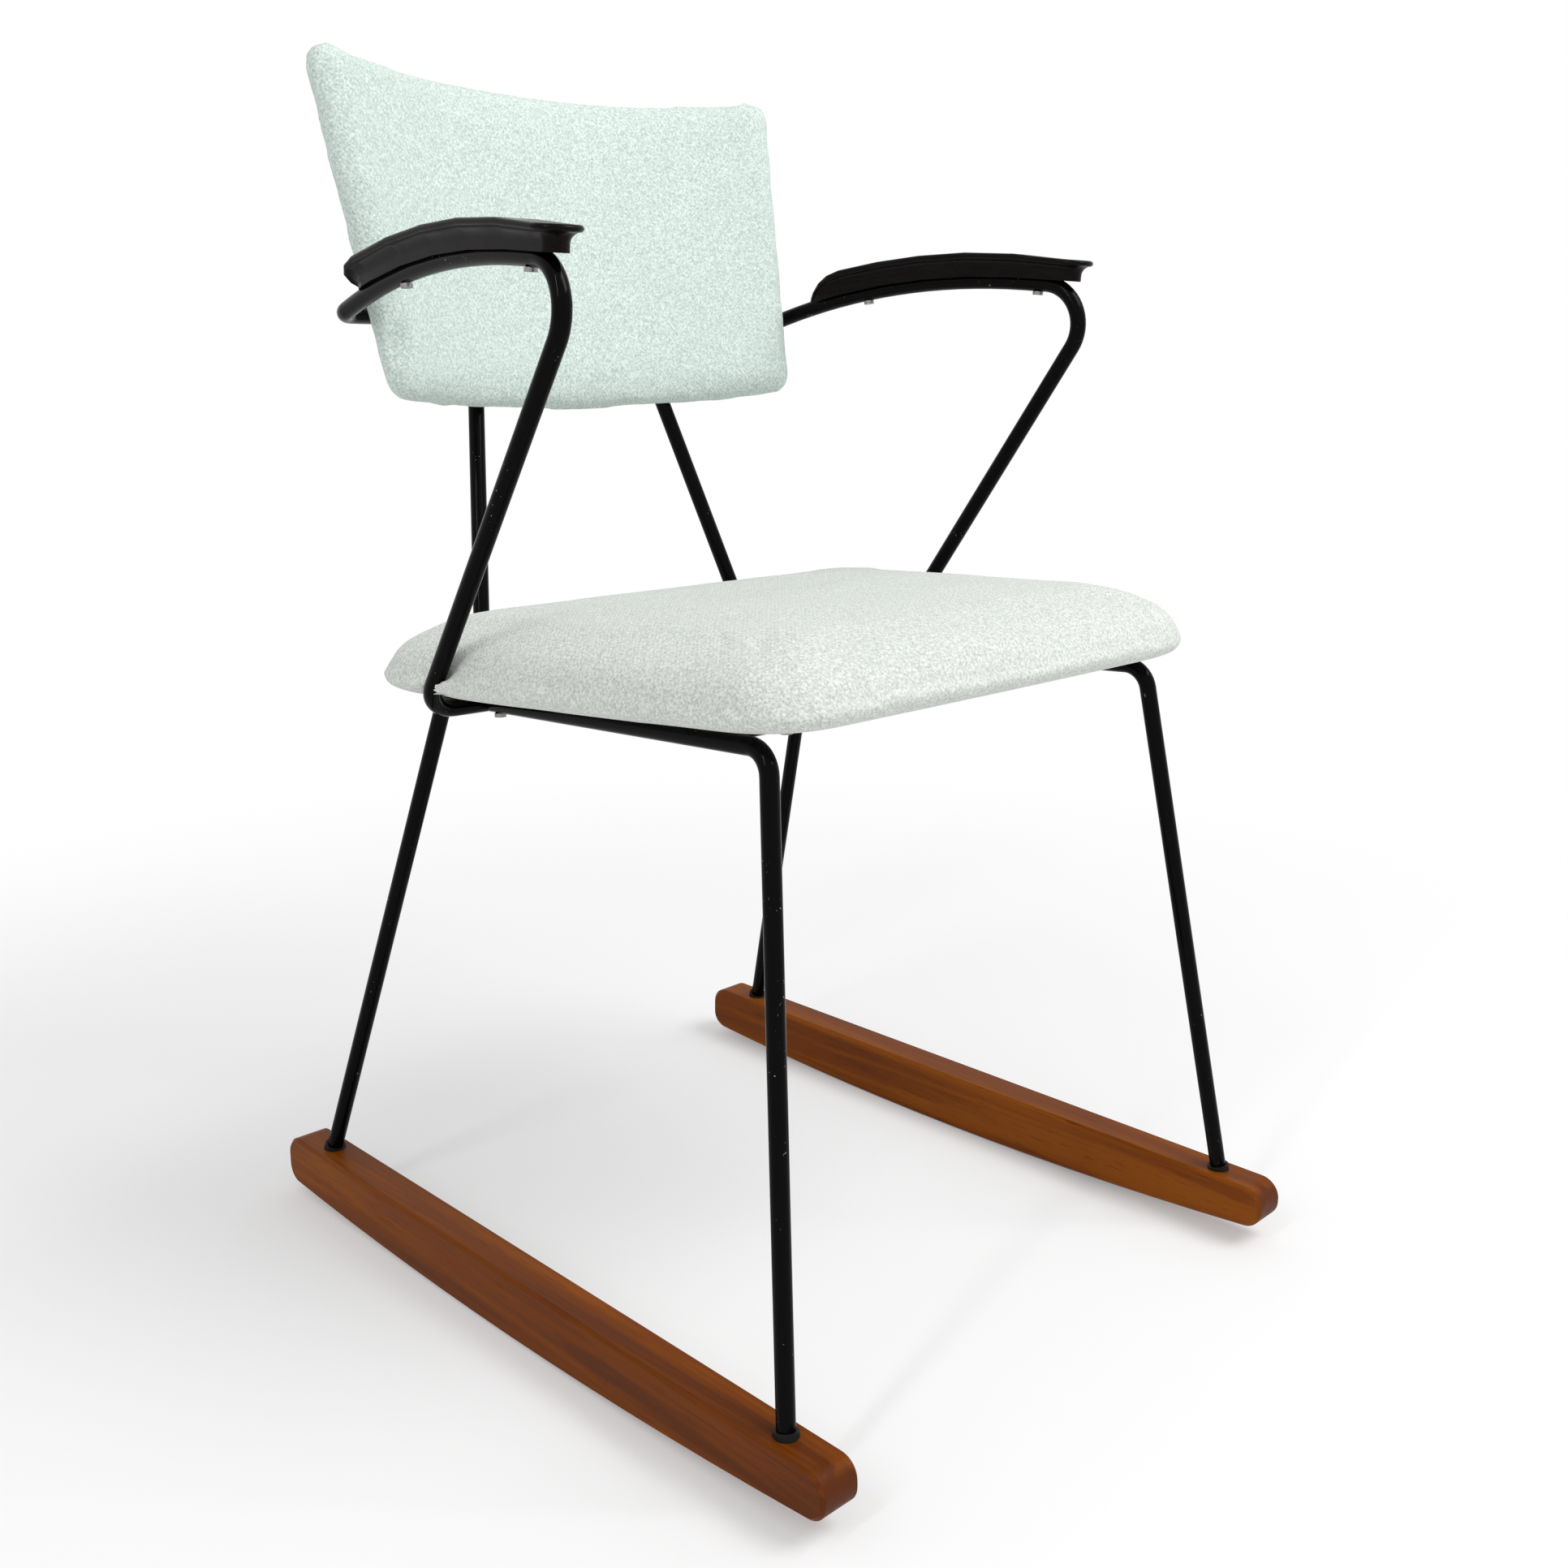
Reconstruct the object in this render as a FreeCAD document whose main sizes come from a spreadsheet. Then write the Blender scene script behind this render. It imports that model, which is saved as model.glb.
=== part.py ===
# Rocking chair: a frame of bent round bar on wooden rockers, with an upholstered seat pad and
# curved back panel and moulded armrest pads.
#
# Millimetres. +Z is up, the sitter faces -Y and the sitter's left is +X. The origin lies on the floor,
# under the middle of the rockers. Left-hand pieces are built, and the right-hand ones mirror them.

import FreeCAD, Part
import math
import os

import Sketcher
from FreeCAD import Placement, Rotation, Vector

doc = FreeCAD.newDocument("rocking_chair")

# Driving dimensions
SIZES = {
    # Round bar of the frame
    "bar_diameter": 12.0,
    "weld_gap": 0.2,
    # Rockers
    "rocker_length": 599.0,
    "rocker_width": 31.0,
    "rocker_height": 47.6,
    "sole_radius": 3500.0,
    "sole_low_point": 42.0,
    "nose_radius": 17.0,
    "nose_share": 0.48,
    "rocker_arris": 2.5,
    # Feet, where the legs cross the top of a rocker
    "front_foot_spread": 239.7,
    "front_foot_reach": 254.0,
    "rear_foot_spread": 233.7,
    "rear_foot_reach": 253.0,
    "socket_depth": 28.0,
    "bush_diameter": 16.0,
    "bush_proud": 3.0,
    "bush_fit": 0.1,
    # Side frames: front leg and seat rail in one bar, rear leg under the rail
    "rail_front_spread": 193.0,
    "rail_front_reach": 188.0,
    "rail_front_height": 441.0,
    "rail_rear_spread": 186.0,
    "rail_slope": 3.39,
    "rail_tail": 6.0,
    "leg_bend": 18.0,
    "rear_leg_setback": 8.6,
    "front_bar_reach": 130.0,
    # Arms
    "stub_setback": 91.0,
    "stub_rise": 1.0,
    "elbow_spread": 239.7,
    "elbow_bend": 25.0,
    "arm_front_spread": 248.8,
    "arm_front_reach": 99.6,
    "arm_front_height": 708.5,
    "arm_front_bend": 30.3,
    "arm_taper": 6.97,
    "arch_setback": 89.6,
    "arch_height": 721.5,
    "arch_radius": 640.0,
    "bow_height": 681.9,
    "bow_bend": 19.0,
    "bow_side_gap": 9.0,
    # Back panel
    "back_recline": 15.72,
    "back_setback": 213.7,
    "back_foot_height": 612.0,
    "back_radius": 500.0,
    "back_height": 250.4,
    "back_foot_half_width": 201.1,
    "back_head_half_width": 228.2,
    "back_thickness": 26.0,
    "back_edge_depth": 15.6,
    "back_foot_corner": 20.2,
    "back_head_corner": 24.5,
    "back_board_thickness": 9.0,
    "back_board_margin": 12.0,
    "back_wadding": 2.0,
    # Back uprights, which lie against the rear face of the panel
    "upright_spread": 67.0,
    "upright_lean": 12.7,
    "upright_head_drop": 80.0,
    "contact_gap": 0.3,
    "cope_relief": 1.5,
    # Seat pad
    "seat_rear_gap": 4.0,
    "seat_depth": 390.0,
    "seat_front_half_width": 218.8,
    "seat_rear_half_width": 250.0,
    "seat_front_corner": 58.0,
    "seat_rear_corner": 45.0,
    "seat_side_bow": 6.0,
    "seat_front_bow": 3.0,
    "seat_rear_bow": 2.0,
    "seat_edge_height": 53.0,
    "seat_bulge_height": 16.0,
    "seat_lower_nose": 39.0,
    "seat_upper_nose": 51.0,
    "seat_crown": 8.0,
    "seat_board_thickness": 10.0,
    "seat_board_margin": 32.0,
    "seat_board_chamfer": 3.0,
    "hem_width": 20.0,
    "base_cloth_margin": 12.0,
    "base_cloth_thickness": 0.8,
    "cover_thickness": 1.2,
    "soft_gap": 0.2,
    # Armrest pads
    "pad_start": 16.6,
    "pad_length": 262.0,
    "pad_width": 32.6,
    "pad_base_width": 17.0,
    "pad_rise": 15.0,
    "pad_wrap": 3.0,
    "pad_flank_foot": 5.7,
    "pad_rim": 4.8,
    "pad_rim_depth": 2.4,
    "pad_tail": 30.0,
    "pad_tail_skew": 0.9,
    "pad_droop": 0.14,
    "pad_droop_length": 80.0,
    "pad_groove_fit": 0.15,
    # Screws
    "screw_diameter": 4.0,
    "screw_head_diameter": 8.0,
    "screw_head_height": 2.6,
    "screw_bite": 7.0,
    "screw_fit": 0.1,
    "seat_screw_setback": 78.0,
    "seat_screw_front_spread": 120.0,
    "pad_screw_front_reach": 41.0,
    "pad_screw_rear_setback": 118.0,
    "back_screw_foot": 55.0,
    "back_screw_head": 120.0,
}

sizes = doc.addObject("Spreadsheet::Sheet", "sizes")
for row, (alias, amount) in enumerate(SIZES.items(), start=1):
    sizes.set(f"A{row}", alias)
    sizes.set(f"B{row}", str(amount))
    sizes.setAlias(f"B{row}", alias)
doc.recompute()

X_AXIS = Vector(1, 0, 0)
Z_AXIS = Vector(0, 0, 1)
ORIGIN = Vector(0, 0, 0)
BAR_RADIUS = "sizes.bar_diameter / 2"


# Reading the sheet and placing pieces

def size(alias):
    """A driving dimension as a plain number."""
    return float(sizes.get(alias))


def number(expression):
    """The value of an expression in the sheet's dimensions."""
    return float(sizes.evalExpression(expression))


def bind(piece, **expressions):
    """Ties properties of a piece to the sheet."""
    for name, expression in expressions.items():
        piece.setExpression(name, expression)


def shape_piece(name, shape, placement=Placement()):
    """A piece whose form is set by Part's own functions, and then placed."""
    piece = doc.addObject("Part::Feature", name)
    piece.Shape = shape
    piece.Placement = placement
    return piece


def mirrored(source, name):
    """The same piece on the other side of the chair."""
    piece = doc.addObject("Part::Mirroring", name)
    piece.Source = source
    piece.Normal = X_AXIS
    piece.Base = ORIGIN
    return piece


def cut(name, base, tools):
    """The base piece less the tools, each a document object."""
    group = doc.addObject("Part::Compound", name + "_tools")
    group.Links = tools
    piece = doc.addObject("Part::Cut", name)
    piece.Base = base
    piece.Tool = group
    return piece


def aim(start, direction):
    """A placement at start whose Z axis points along direction."""
    return Placement(start, Rotation(Z_AXIS, direction))


# Bent bar

def corner_arc(before, corner, after, radius):
    """The arc that rounds a corner: where it starts, its middle and where it ends."""
    back = (before - corner).normalize()
    onward = (after - corner).normalize()
    half_angle = back.getAngle(onward) / 2
    reach = radius / math.tan(half_angle)
    bisector = (back + onward).normalize()
    middle = corner + bisector * (radius / math.sin(half_angle) - radius)
    return corner + back * reach, middle, corner + onward * reach


def bent_bar(points, bends, radius):
    """A round bar along straight runs through the points, each inner point bent to its own radius."""
    runs = []
    here = points[0]
    for index, bend in enumerate(bends, start=1):
        start, middle, end = corner_arc(points[index - 1], points[index], points[index + 1], bend)
        circle = Part.Arc(start, middle, end).toShape().Curve
        runs.append(run_of_bar(here, start, radius))
        section = Part.Face(Part.Wire(Part.Circle(start, start - here, radius).toShape()))
        turn = (start - here).getAngle(points[index + 1] - end)
        runs.append(section.revolve(circle.Center, circle.Axis, math.degrees(turn)))
        here = end
    runs.append(run_of_bar(here, points[-1], radius))
    return runs[0].multiFuse(runs[1:])


def run_of_bar(start, end, radius):
    """A straight run of round bar."""
    return Part.makeCylinder(radius, (end - start).Length, start, end - start)


def bent_length(points, bends):
    """Length of the same bar's axis."""
    length = (points[1] - points[0]).Length
    for index, bend in enumerate(bends, start=1):
        turn = (points[index] - points[index - 1]).getAngle(points[index + 1] - points[index])
        length += (points[index + 1] - points[index]).Length + bend * (turn - 2 * math.tan(turn / 2))
    return length


# Places that several pieces share

RAIL_DROP = "tan(sizes.rail_slope * 1deg)"


def rail_height(reach):
    """Height of the rail's axis at a Y given as an expression."""
    return f"sizes.rail_front_height - {RAIL_DROP} * ({reach} + sizes.rail_front_reach)"


recline = math.radians(size("back_recline"))
PANEL_PLACE = Placement(
    Vector(0, size("back_setback"), size("back_foot_height")),
    Rotation(X_AXIS, -size("back_recline")),
)


def upright_axis():
    """A point and a direction on the left upright's axis, in the panel's own frame.

    The panel's rear face is part of a cylinder about an upright line, and the upright touches it
    half way up the panel, leaning inwards along the face."""
    bar = size("bar_diameter") / 2
    reach = size("back_radius") + size("back_thickness") / 2 + bar + size("contact_gap")
    turn = math.asin(size("upright_spread") / reach)
    middle = Vector(
        size("upright_spread"),
        reach * math.cos(turn) - size("back_radius"),
        size("back_height") / 2,
    )
    lean = math.tan(math.radians(size("upright_lean")))
    direction = Vector(-lean * math.cos(turn), lean * math.sin(turn), 1)
    return middle, direction


def upright_at_height(height):
    """The point of the left upright's axis at a height above the floor."""
    middle, direction = upright_axis()
    start = PANEL_PLACE.multVec(middle)
    run = PANEL_PLACE.Rotation.multVec(direction)
    return start + run * ((height - start.z) / run.z)


def rear_bar_place():
    """Y and Z of the rear cross bar, in the plane of the rails and against the uprights."""
    foot = upright_at_height(size("rail_front_height"))
    run = PANEL_PLACE.Rotation.multVec(upright_axis()[1])
    slope = math.tan(math.radians(size("rail_slope")))
    spacing = (size("bar_diameter") + size("weld_gap")) * math.hypot(run.y, run.z)
    offset = (foot.z - size("rail_front_height") + slope * size("rail_front_reach")) * run.y
    across = (foot.y * run.z - offset - spacing) / (run.z + slope * run.y)
    return across, number(rail_height(str(across)))


REAR_BAR_Y, REAR_BAR_Z = rear_bar_place()
RAIL_END_Y = REAR_BAR_Y + size("rail_tail")

front_foot = Vector(size("front_foot_spread"), -size("front_foot_reach"), size("rocker_height"))
rear_foot = Vector(size("rear_foot_spread"), size("rear_foot_reach"), size("rocker_height"))
rail_front = Vector(size("rail_front_spread"), -size("rail_front_reach"), size("rail_front_height"))
rail_rear = Vector(size("rail_rear_spread"), RAIL_END_Y, number(rail_height(str(RAIL_END_Y))))


def on_rail(reach):
    """The point of the left rail's axis at a given Y."""
    share = (reach - rail_front.y) / (rail_rear.y - rail_front.y)
    return rail_front + (rail_rear - rail_front) * share


rear_leg_top = on_rail(REAR_BAR_Y - size("rear_leg_setback"))
front_leg_run = (front_foot - rail_front).normalize()
rear_leg_run = (rear_foot - rear_leg_top).normalize()


# Rockers: a flat-topped hardwood runner with a curved sole and rounded ends

def rocker_body():
    """The left rocker before its sockets are drilled."""
    body = doc.addObject("PartDesign::Body", "rocker_blank")
    plane = [feature for feature in body.Origin.OriginFeatures if feature.Role == "YZ_Plane"][0]
    sketch = body.newObject("Sketcher::SketchObject", "rocker_outline")
    sketch.AttachmentSupport = [(plane, "")]
    sketch.MapMode = "FlatFace"

    half = size("rocker_length") / 2
    top = size("rocker_height")
    radius = size("sole_radius")
    low = size("sole_low_point")

    def sole(reach):
        return radius - math.sqrt(radius ** 2 - (reach - low) ** 2)

    front_toe = Vector(-half, sole(-half), 0)
    rear_toe = Vector(half, sole(half), 0)
    sketch.addGeometry(Part.LineSegment(Vector(half, top, 0), Vector(-half, top, 0)))
    sketch.addGeometry(Part.LineSegment(Vector(-half, top, 0), front_toe))
    sketch.addGeometry(Part.Arc(front_toe, Vector(low, 0, 0), rear_toe))
    sketch.addGeometry(Part.LineSegment(rear_toe, Vector(half, top, 0)))
    sketch.addConstraint(Sketcher.Constraint("Coincident", 0, 2, 1, 1))
    sketch.addConstraint(Sketcher.Constraint("Coincident", 1, 2, 2, 1))
    sketch.addConstraint(Sketcher.Constraint("Coincident", 2, 2, 3, 1))
    sketch.addConstraint(Sketcher.Constraint("Coincident", 3, 2, 0, 1))
    sketch.addConstraint(Sketcher.Constraint("Horizontal", 0))
    sketch.addConstraint(Sketcher.Constraint("Vertical", 1))
    sketch.addConstraint(Sketcher.Constraint("Vertical", 3))
    driven = [
        ("length", Sketcher.Constraint("DistanceX", 0, 2, 0, 1, 2 * half), "sizes.rocker_length"),
        ("reach", Sketcher.Constraint("DistanceX", -1, 1, 0, 1, half), "sizes.rocker_length / 2"),
        ("height", Sketcher.Constraint("DistanceY", -1, 1, 0, 1, top), "sizes.rocker_height"),
        ("sole", Sketcher.Constraint("Radius", 2, radius), "sizes.sole_radius"),
        ("middle", Sketcher.Constraint("DistanceX", -1, 1, 2, 3, low), "sizes.sole_low_point"),
        ("rise", Sketcher.Constraint("DistanceY", -1, 1, 2, 3, radius), "sizes.sole_radius"),
    ]
    for name, constraint, expression in driven:
        index = sketch.addConstraint(constraint)
        sketch.renameConstraint(index, name)
        sketch.setExpression(f"Constraints.{name}", expression)

    pad = body.newObject("PartDesign::Pad", "rocker_pad")
    pad.Profile = sketch
    pad.SideType = "Symmetric"
    bind(pad, Length="sizes.rocker_width")
    doc.recompute()

    ends = []
    for index, edge in enumerate(pad.Shape.Edges, start=1):
        centre = edge.CenterOfMass
        if abs(centre.x) < 1 and abs(abs(centre.y) - half) < 1:
            ends.append(f"Edge{index}")
    noses = body.newObject("PartDesign::Fillet", "rocker_noses")
    noses.Base = (pad, ends)
    end_rise = "(sizes.rocker_length / 2 + abs(sizes.sole_low_point)) ^ 2 / (2 * sizes.sole_radius)"
    bind(noses, Radius=f"min(sizes.nose_radius; (sizes.rocker_height - {end_rise}) * sizes.nose_share)")
    doc.recompute()

    sides = []
    for index, edge in enumerate(noses.Shape.Edges, start=1):
        box = edge.BoundBox
        if box.XLength < 0.01 and abs(abs(box.XMin) - size("rocker_width") / 2) < 0.01:
            sides.append(f"Edge{index}")
    arrises = body.newObject("PartDesign::Chamfer", "rocker_arrises")
    arrises.Base = (noses, sides)
    bind(arrises, Size="sizes.rocker_arris")

    # The runner lies under both of its feet, so it toes in by the difference of their spreads
    feet = "(sizes.front_foot_reach + sizes.rear_foot_reach)"
    toe = "(sizes.front_foot_spread - sizes.rear_foot_spread)"
    body.Placement = Placement(ORIGIN, Rotation(Z_AXIS, 1))
    middle = f"sizes.front_foot_spread - {toe} * sizes.front_foot_reach / {feet}"
    body.setExpression("Placement.Base.x", middle)
    body.setExpression("Placement.Rotation.Angle", f"atan({toe} / {feet})")
    return body


def socket_tool(name, foot, run, radius, depth, proud):
    """A cylinder along a leg, from above the top of the rocker down into it."""
    tool = doc.addObject("Part::Cylinder", name)
    bind(tool, Radius=radius, Height=f"{depth} + {proud}")
    tool.Placement = aim(foot - run * number(proud), run)
    return tool


FEET = (("front", front_foot, front_leg_run), ("rear", rear_foot, rear_leg_run))
BUSH_RADIUS = "sizes.bush_diameter / 2"

sockets = []
for name, foot, run in FEET:
    sockets.append(socket_tool(
        f"{name}_socket", foot, run, f"{BUSH_RADIUS} + sizes.bush_fit", "sizes.socket_depth",
        "sizes.bush_diameter",
    ))
rocker_left = cut("rocker_left", rocker_body(), sockets)
rocker_right = mirrored(rocker_left, "rocker_right")

# Leg bushes: collars that line the sockets and stand a little proud of the wood
bushes = []
for name, foot, run in FEET:
    sleeve = socket_tool(f"{name}_sleeve", foot, run, BUSH_RADIUS, "sizes.socket_depth", "sizes.bush_proud")
    bore = socket_tool(
        f"{name}_bore", foot, run, f"{BAR_RADIUS} + sizes.bush_fit", "sizes.socket_depth + 1",
        "sizes.bush_diameter",
    )
    bushes.append(cut(f"{name}_bush", sleeve, [bore]))
bush_pair = doc.addObject("Part::Compound", "bush_pair")
bush_pair.Links = bushes
bush_pair_right = mirrored(bush_pair, "bush_pair_right")
leg_bushes = doc.addObject("Part::Compound", "leg_bushes")
leg_bushes.Links = [bush_pair, bush_pair_right]


# Screws: pan heads, in local or shared places that the pieces they hold also use

def screw(name, start, direction, length):
    """A screw whose head sits at start and whose shank runs along direction."""
    shank = doc.addObject("Part::Cylinder", name + "_shank")
    bind(shank, Radius="sizes.screw_diameter / 2", Height=length)
    shank.Placement = aim(start, direction)
    head = doc.addObject("Part::Cylinder", name + "_head")
    bind(head, Radius="sizes.screw_head_diameter / 2", Height="sizes.screw_head_height")
    head.Placement = aim(start, -direction)
    piece = doc.addObject("Part::Fuse", name)
    piece.Base = shank
    piece.Tool = head
    return piece


def screw_hole(name, start, direction, length):
    """The room that a screw's shank needs, from just outside its head."""
    hole = doc.addObject("Part::Cylinder", name + "_hole")
    bind(hole, Radius="sizes.screw_diameter / 2 + sizes.screw_fit", Height=f"{length} + 2 * sizes.screw_fit")
    hole.Placement = aim(start - direction * size("screw_fit"), direction)
    return hole


def both_sides(name, pieces):
    """A group of small pieces and their mirror images, as one node."""
    left = doc.addObject("Part::Compound", name + "_left")
    left.Links = pieces
    right = mirrored(left, name + "_right")
    pair = doc.addObject("Part::Compound", name)
    pair.Links = [left, right]
    return pair


# Seat plane: the seat pad lies on the tops of the rails, so it slopes as they do
slope = math.radians(size("rail_slope"))
SEAT_UP = Vector(0, math.sin(slope), math.cos(slope))
SEAT_PLACE = Placement(
    Vector(0, 0, number(rail_height("0")) + size("bar_diameter") / 2 / math.cos(slope)),
    Rotation(X_AXIS, -size("rail_slope")),
)
COVER_FOOT = "sizes.contact_gap + sizes.base_cloth_thickness"
BOARD_FOOT = f"{COVER_FOOT} + sizes.cover_thickness + sizes.soft_gap"
SEAT_SCREW_LENGTH = f"sizes.bar_diameter + {BOARD_FOOT} + sizes.screw_bite"
FRONT_BAR_Y = -size("front_bar_reach")
FRONT_BAR_Z = number(rail_height(str(FRONT_BAR_Y)))

seat_screws = []
seat_holes = []
for name, axis_point in (
    ("seat_screw_side", on_rail(size("seat_screw_setback"))),
    ("seat_screw_front", Vector(size("seat_screw_front_spread"), FRONT_BAR_Y, FRONT_BAR_Z)),
):
    start = axis_point - SEAT_UP * (size("bar_diameter") / 2)
    seat_screws.append(screw(name, start, SEAT_UP, SEAT_SCREW_LENGTH))
    seat_holes.append(screw_hole(name, start, SEAT_UP, SEAT_SCREW_LENGTH))
seat_screw_group = both_sides("seat_screws", seat_screws)
seat_hole_group = both_sides("seat_screw_holes", seat_holes)


# Side frames

def leg_end(foot, run):
    """Where a leg ends, at the bottom of its socket."""
    return foot + run * size("socket_depth")


def side_frame():
    """Front leg and seat rail, one bar bent once at the front corner of the seat."""
    body = doc.addObject("PartDesign::Body", "side_frame")
    planes = {feature.Role: feature for feature in body.Origin.OriginFeatures}
    foot = leg_end(front_foot, front_leg_run)
    leg = (rail_front - foot).Length
    rail = (rail_rear - rail_front).Length
    turn = (rail_rear - rail_front).getAngle(rail_front - foot)
    end = Vector(rail * math.sin(turn), leg + rail * math.cos(turn), 0)
    start, middle, finish = corner_arc(ORIGIN, Vector(0, leg, 0), end, size("leg_bend"))

    path = body.newObject("Sketcher::SketchObject", "rail_path")
    path.AttachmentSupport = [(planes["XY_Plane"], "")]
    path.MapMode = "FlatFace"
    path.addGeometry(Part.LineSegment(ORIGIN, start))
    path.addGeometry(Part.Arc(start, middle, finish))
    path.addGeometry(Part.LineSegment(finish, end))
    path.addConstraint(Sketcher.Constraint("Coincident", 0, 1, -1, 1))
    path.addConstraint(Sketcher.Constraint("Vertical", 0))
    path.addConstraint(Sketcher.Constraint("DistanceX", -1, 1, 2, 2, end.x))
    path.addConstraint(Sketcher.Constraint("DistanceY", -1, 1, 2, 2, end.y))

    profile = body.newObject("Sketcher::SketchObject", "rail_profile")
    profile.AttachmentSupport = [(planes["XZ_Plane"], "")]
    profile.MapMode = "FlatFace"
    profile.addGeometry(Part.Circle(ORIGIN, Z_AXIS, size("bar_diameter") / 2))
    profile.addConstraint(Sketcher.Constraint("Coincident", 0, 3, -1, 1))
    across = profile.addConstraint(Sketcher.Constraint("Diameter", 0, size("bar_diameter")))
    profile.setExpression(f"Constraints[{across}]", "sizes.bar_diameter")
    doc.recompute()

    pipe = body.newObject("PartDesign::AdditivePipe", "rail_pipe")
    pipe.Profile = profile
    pipe.Spine = path

    up = (rail_front - foot).normalize()
    side = (rail_rear - rail_front).cross(up).normalize()
    body.Placement = Placement(foot, Rotation(up.cross(side), up, side, "ZXY"))
    return body


def straight_bar(name, start, end):
    """A straight length of the frame's bar."""
    bar = doc.addObject("Part::Cylinder", name)
    bind(bar, Radius=BAR_RADIUS)
    bar.Height = (end - start).Length
    bar.Placement = aim(start, end - start)
    return bar


side_frame_plain = side_frame()
side_frame_mirror = mirrored(side_frame_plain, "side_frame_mirror")
front_leg_rail_left = cut("front_leg_rail_left", side_frame_plain, [seat_hole_group])
front_leg_rail_right = mirrored(front_leg_rail_left, "front_leg_rail_right")

# Rear legs: straight, with the upper end shaped to the underside of the rail
rear_leg_plain = straight_bar(
    "rear_leg_plain", leg_end(rear_foot, rear_leg_run), rear_leg_top + rear_leg_run * size("cope_relief"),
)
rear_leg_left = cut("rear_leg_left", rear_leg_plain, [side_frame_plain])
rear_leg_right = mirrored(rear_leg_left, "rear_leg_right")


# Cross bars, with both ends shaped to the rails

def cross_bar(name, reach, height, tools):
    """A bar across the chair between the two rails."""
    spread = on_rail(reach).x - size("cope_relief")
    plain = straight_bar(name + "_plain", Vector(-spread, reach, height), Vector(spread, reach, height))
    return cut(name, plain, [side_frame_plain, side_frame_mirror] + tools)


front_cross_bar = cross_bar("front_cross_bar", FRONT_BAR_Y, FRONT_BAR_Z, [seat_hole_group])
rear_cross_bar = cross_bar("rear_cross_bar", REAR_BAR_Y, REAR_BAR_Z, [rear_leg_left, rear_leg_right])

# Back uprights, in the panel's own frame
BACK_SCREW_LENGTH = (
    "sizes.bar_diameter + sizes.contact_gap + sizes.cover_thickness + sizes.back_wadding + sizes.screw_bite"
)
upright_middle, upright_run = upright_axis()


def on_upright(height):
    """The point of the left upright's axis at a height up the panel."""
    return upright_middle + upright_run * (height - upright_middle.z)


upright_foot = PANEL_PLACE.inverse().multVec(upright_at_height(REAR_BAR_Z - size("bar_diameter") / 2))
upright_head = on_upright(size("back_height") - size("upright_head_drop"))

back_screws = []
back_holes = []
for name in ("back_screw_foot", "back_screw_head"):
    axis_point = on_upright(size(name))
    outward = Vector(axis_point.x, axis_point.y + size("back_radius"), 0).normalize()
    start = axis_point + outward * (size("bar_diameter") / 2)
    back_screws.append(screw(name, start, -outward, BACK_SCREW_LENGTH))
    back_holes.append(screw_hole(name, start, -outward, BACK_SCREW_LENGTH))
back_screw_group = both_sides("back_screws", back_screws)
back_screw_group.Placement = PANEL_PLACE
back_hole_group = both_sides("back_screw_holes", back_holes)

upright_plain = straight_bar("back_upright_plain", upright_foot, upright_head)
back_upright_left = cut("back_upright_left", upright_plain, [back_hole_group])
back_upright_left.Placement = PANEL_PLACE
back_upright_right = mirrored(back_upright_left, "back_upright_right")


# Back bow: an arc behind the panel and the uprights, welded to the uprights

def bow_plan():
    """Centre Y, radius and half angle in radians of the bow's axis, seen from above.

    The bow passes close behind the uprights and ends clear of the panel's rear face."""
    tilt = math.radians(size("back_recline"))
    height = size("bow_height") - size("back_foot_height")
    share = height / math.cos(tilt) / size("back_height")
    half_width = size("back_foot_half_width")
    half_width += (size("back_head_half_width") - half_width) * share
    reach = size("back_radius") + size("back_thickness") / 2 + size("bar_diameter") / 2
    reach += size("bow_side_gap")
    turn = (half_width - size("back_edge_depth")) / size("back_radius")
    side_x = reach * math.sin(turn)
    rearward = reach * math.cos(turn) - size("back_radius")
    side_y = size("back_setback") + height * math.tan(tilt) + rearward / math.cos(tilt)

    upright = upright_at_height(size("bow_height"))
    run = PANEL_PLACE.Rotation.multVec(upright_run)
    chord = Vector(side_x - upright.x, side_y - upright.y, 0)
    normal = run.cross(chord)
    behind = (size("bar_diameter") + size("weld_gap")) * normal.Length / abs(normal.y)
    bow_y = upright.y + behind
    centre = (side_x ** 2 + side_y ** 2 - upright.x ** 2 - bow_y ** 2) / (2 * (side_y - bow_y))
    radius = math.hypot(side_x, side_y - centre)
    return centre, radius, math.asin(side_x / radius)


bow_centre, bow_radius, bow_turn = bow_plan()
back_bow = doc.addObject("Part::Torus", "back_bow")
bind(back_bow, Radius2=BAR_RADIUS)
back_bow.Radius1 = bow_radius
back_bow.Angle3 = 2 * math.degrees(bow_turn)
back_bow.Placement = Placement(
    Vector(0, bow_centre, size("bow_height")), Rotation(Z_AXIS, 90 - math.degrees(bow_turn)),
)

# Arm bars: stub from the rail, elbow, leaning upright, arch over the arm and return to the bow
taper = math.tan(math.radians(size("arm_taper")))
arm_front = Vector(size("arm_front_spread"), -size("arm_front_reach"), size("arm_front_height"))
bow_end = Vector(
    bow_radius * math.sin(bow_turn), bow_centre + bow_radius * math.cos(bow_turn), size("bow_height"),
)
bow_outward = Vector(math.cos(bow_turn), -math.sin(bow_turn), 0)
arm_line_gap = arm_front.x - taper * (bow_end.y - arm_front.y) - bow_end.x
arm_rear = bow_end + bow_outward * (arm_line_gap / (bow_outward.x + taper * bow_outward.y))
arch_top = Vector(
    arm_front.x - taper * (size("arch_setback") - arm_front.y), size("arch_setback"), size("arch_height"),
)
stub_start = on_rail(size("stub_setback"))
elbow = Vector(size("elbow_spread"), stub_start.y, stub_start.z + size("stub_rise"))

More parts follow.
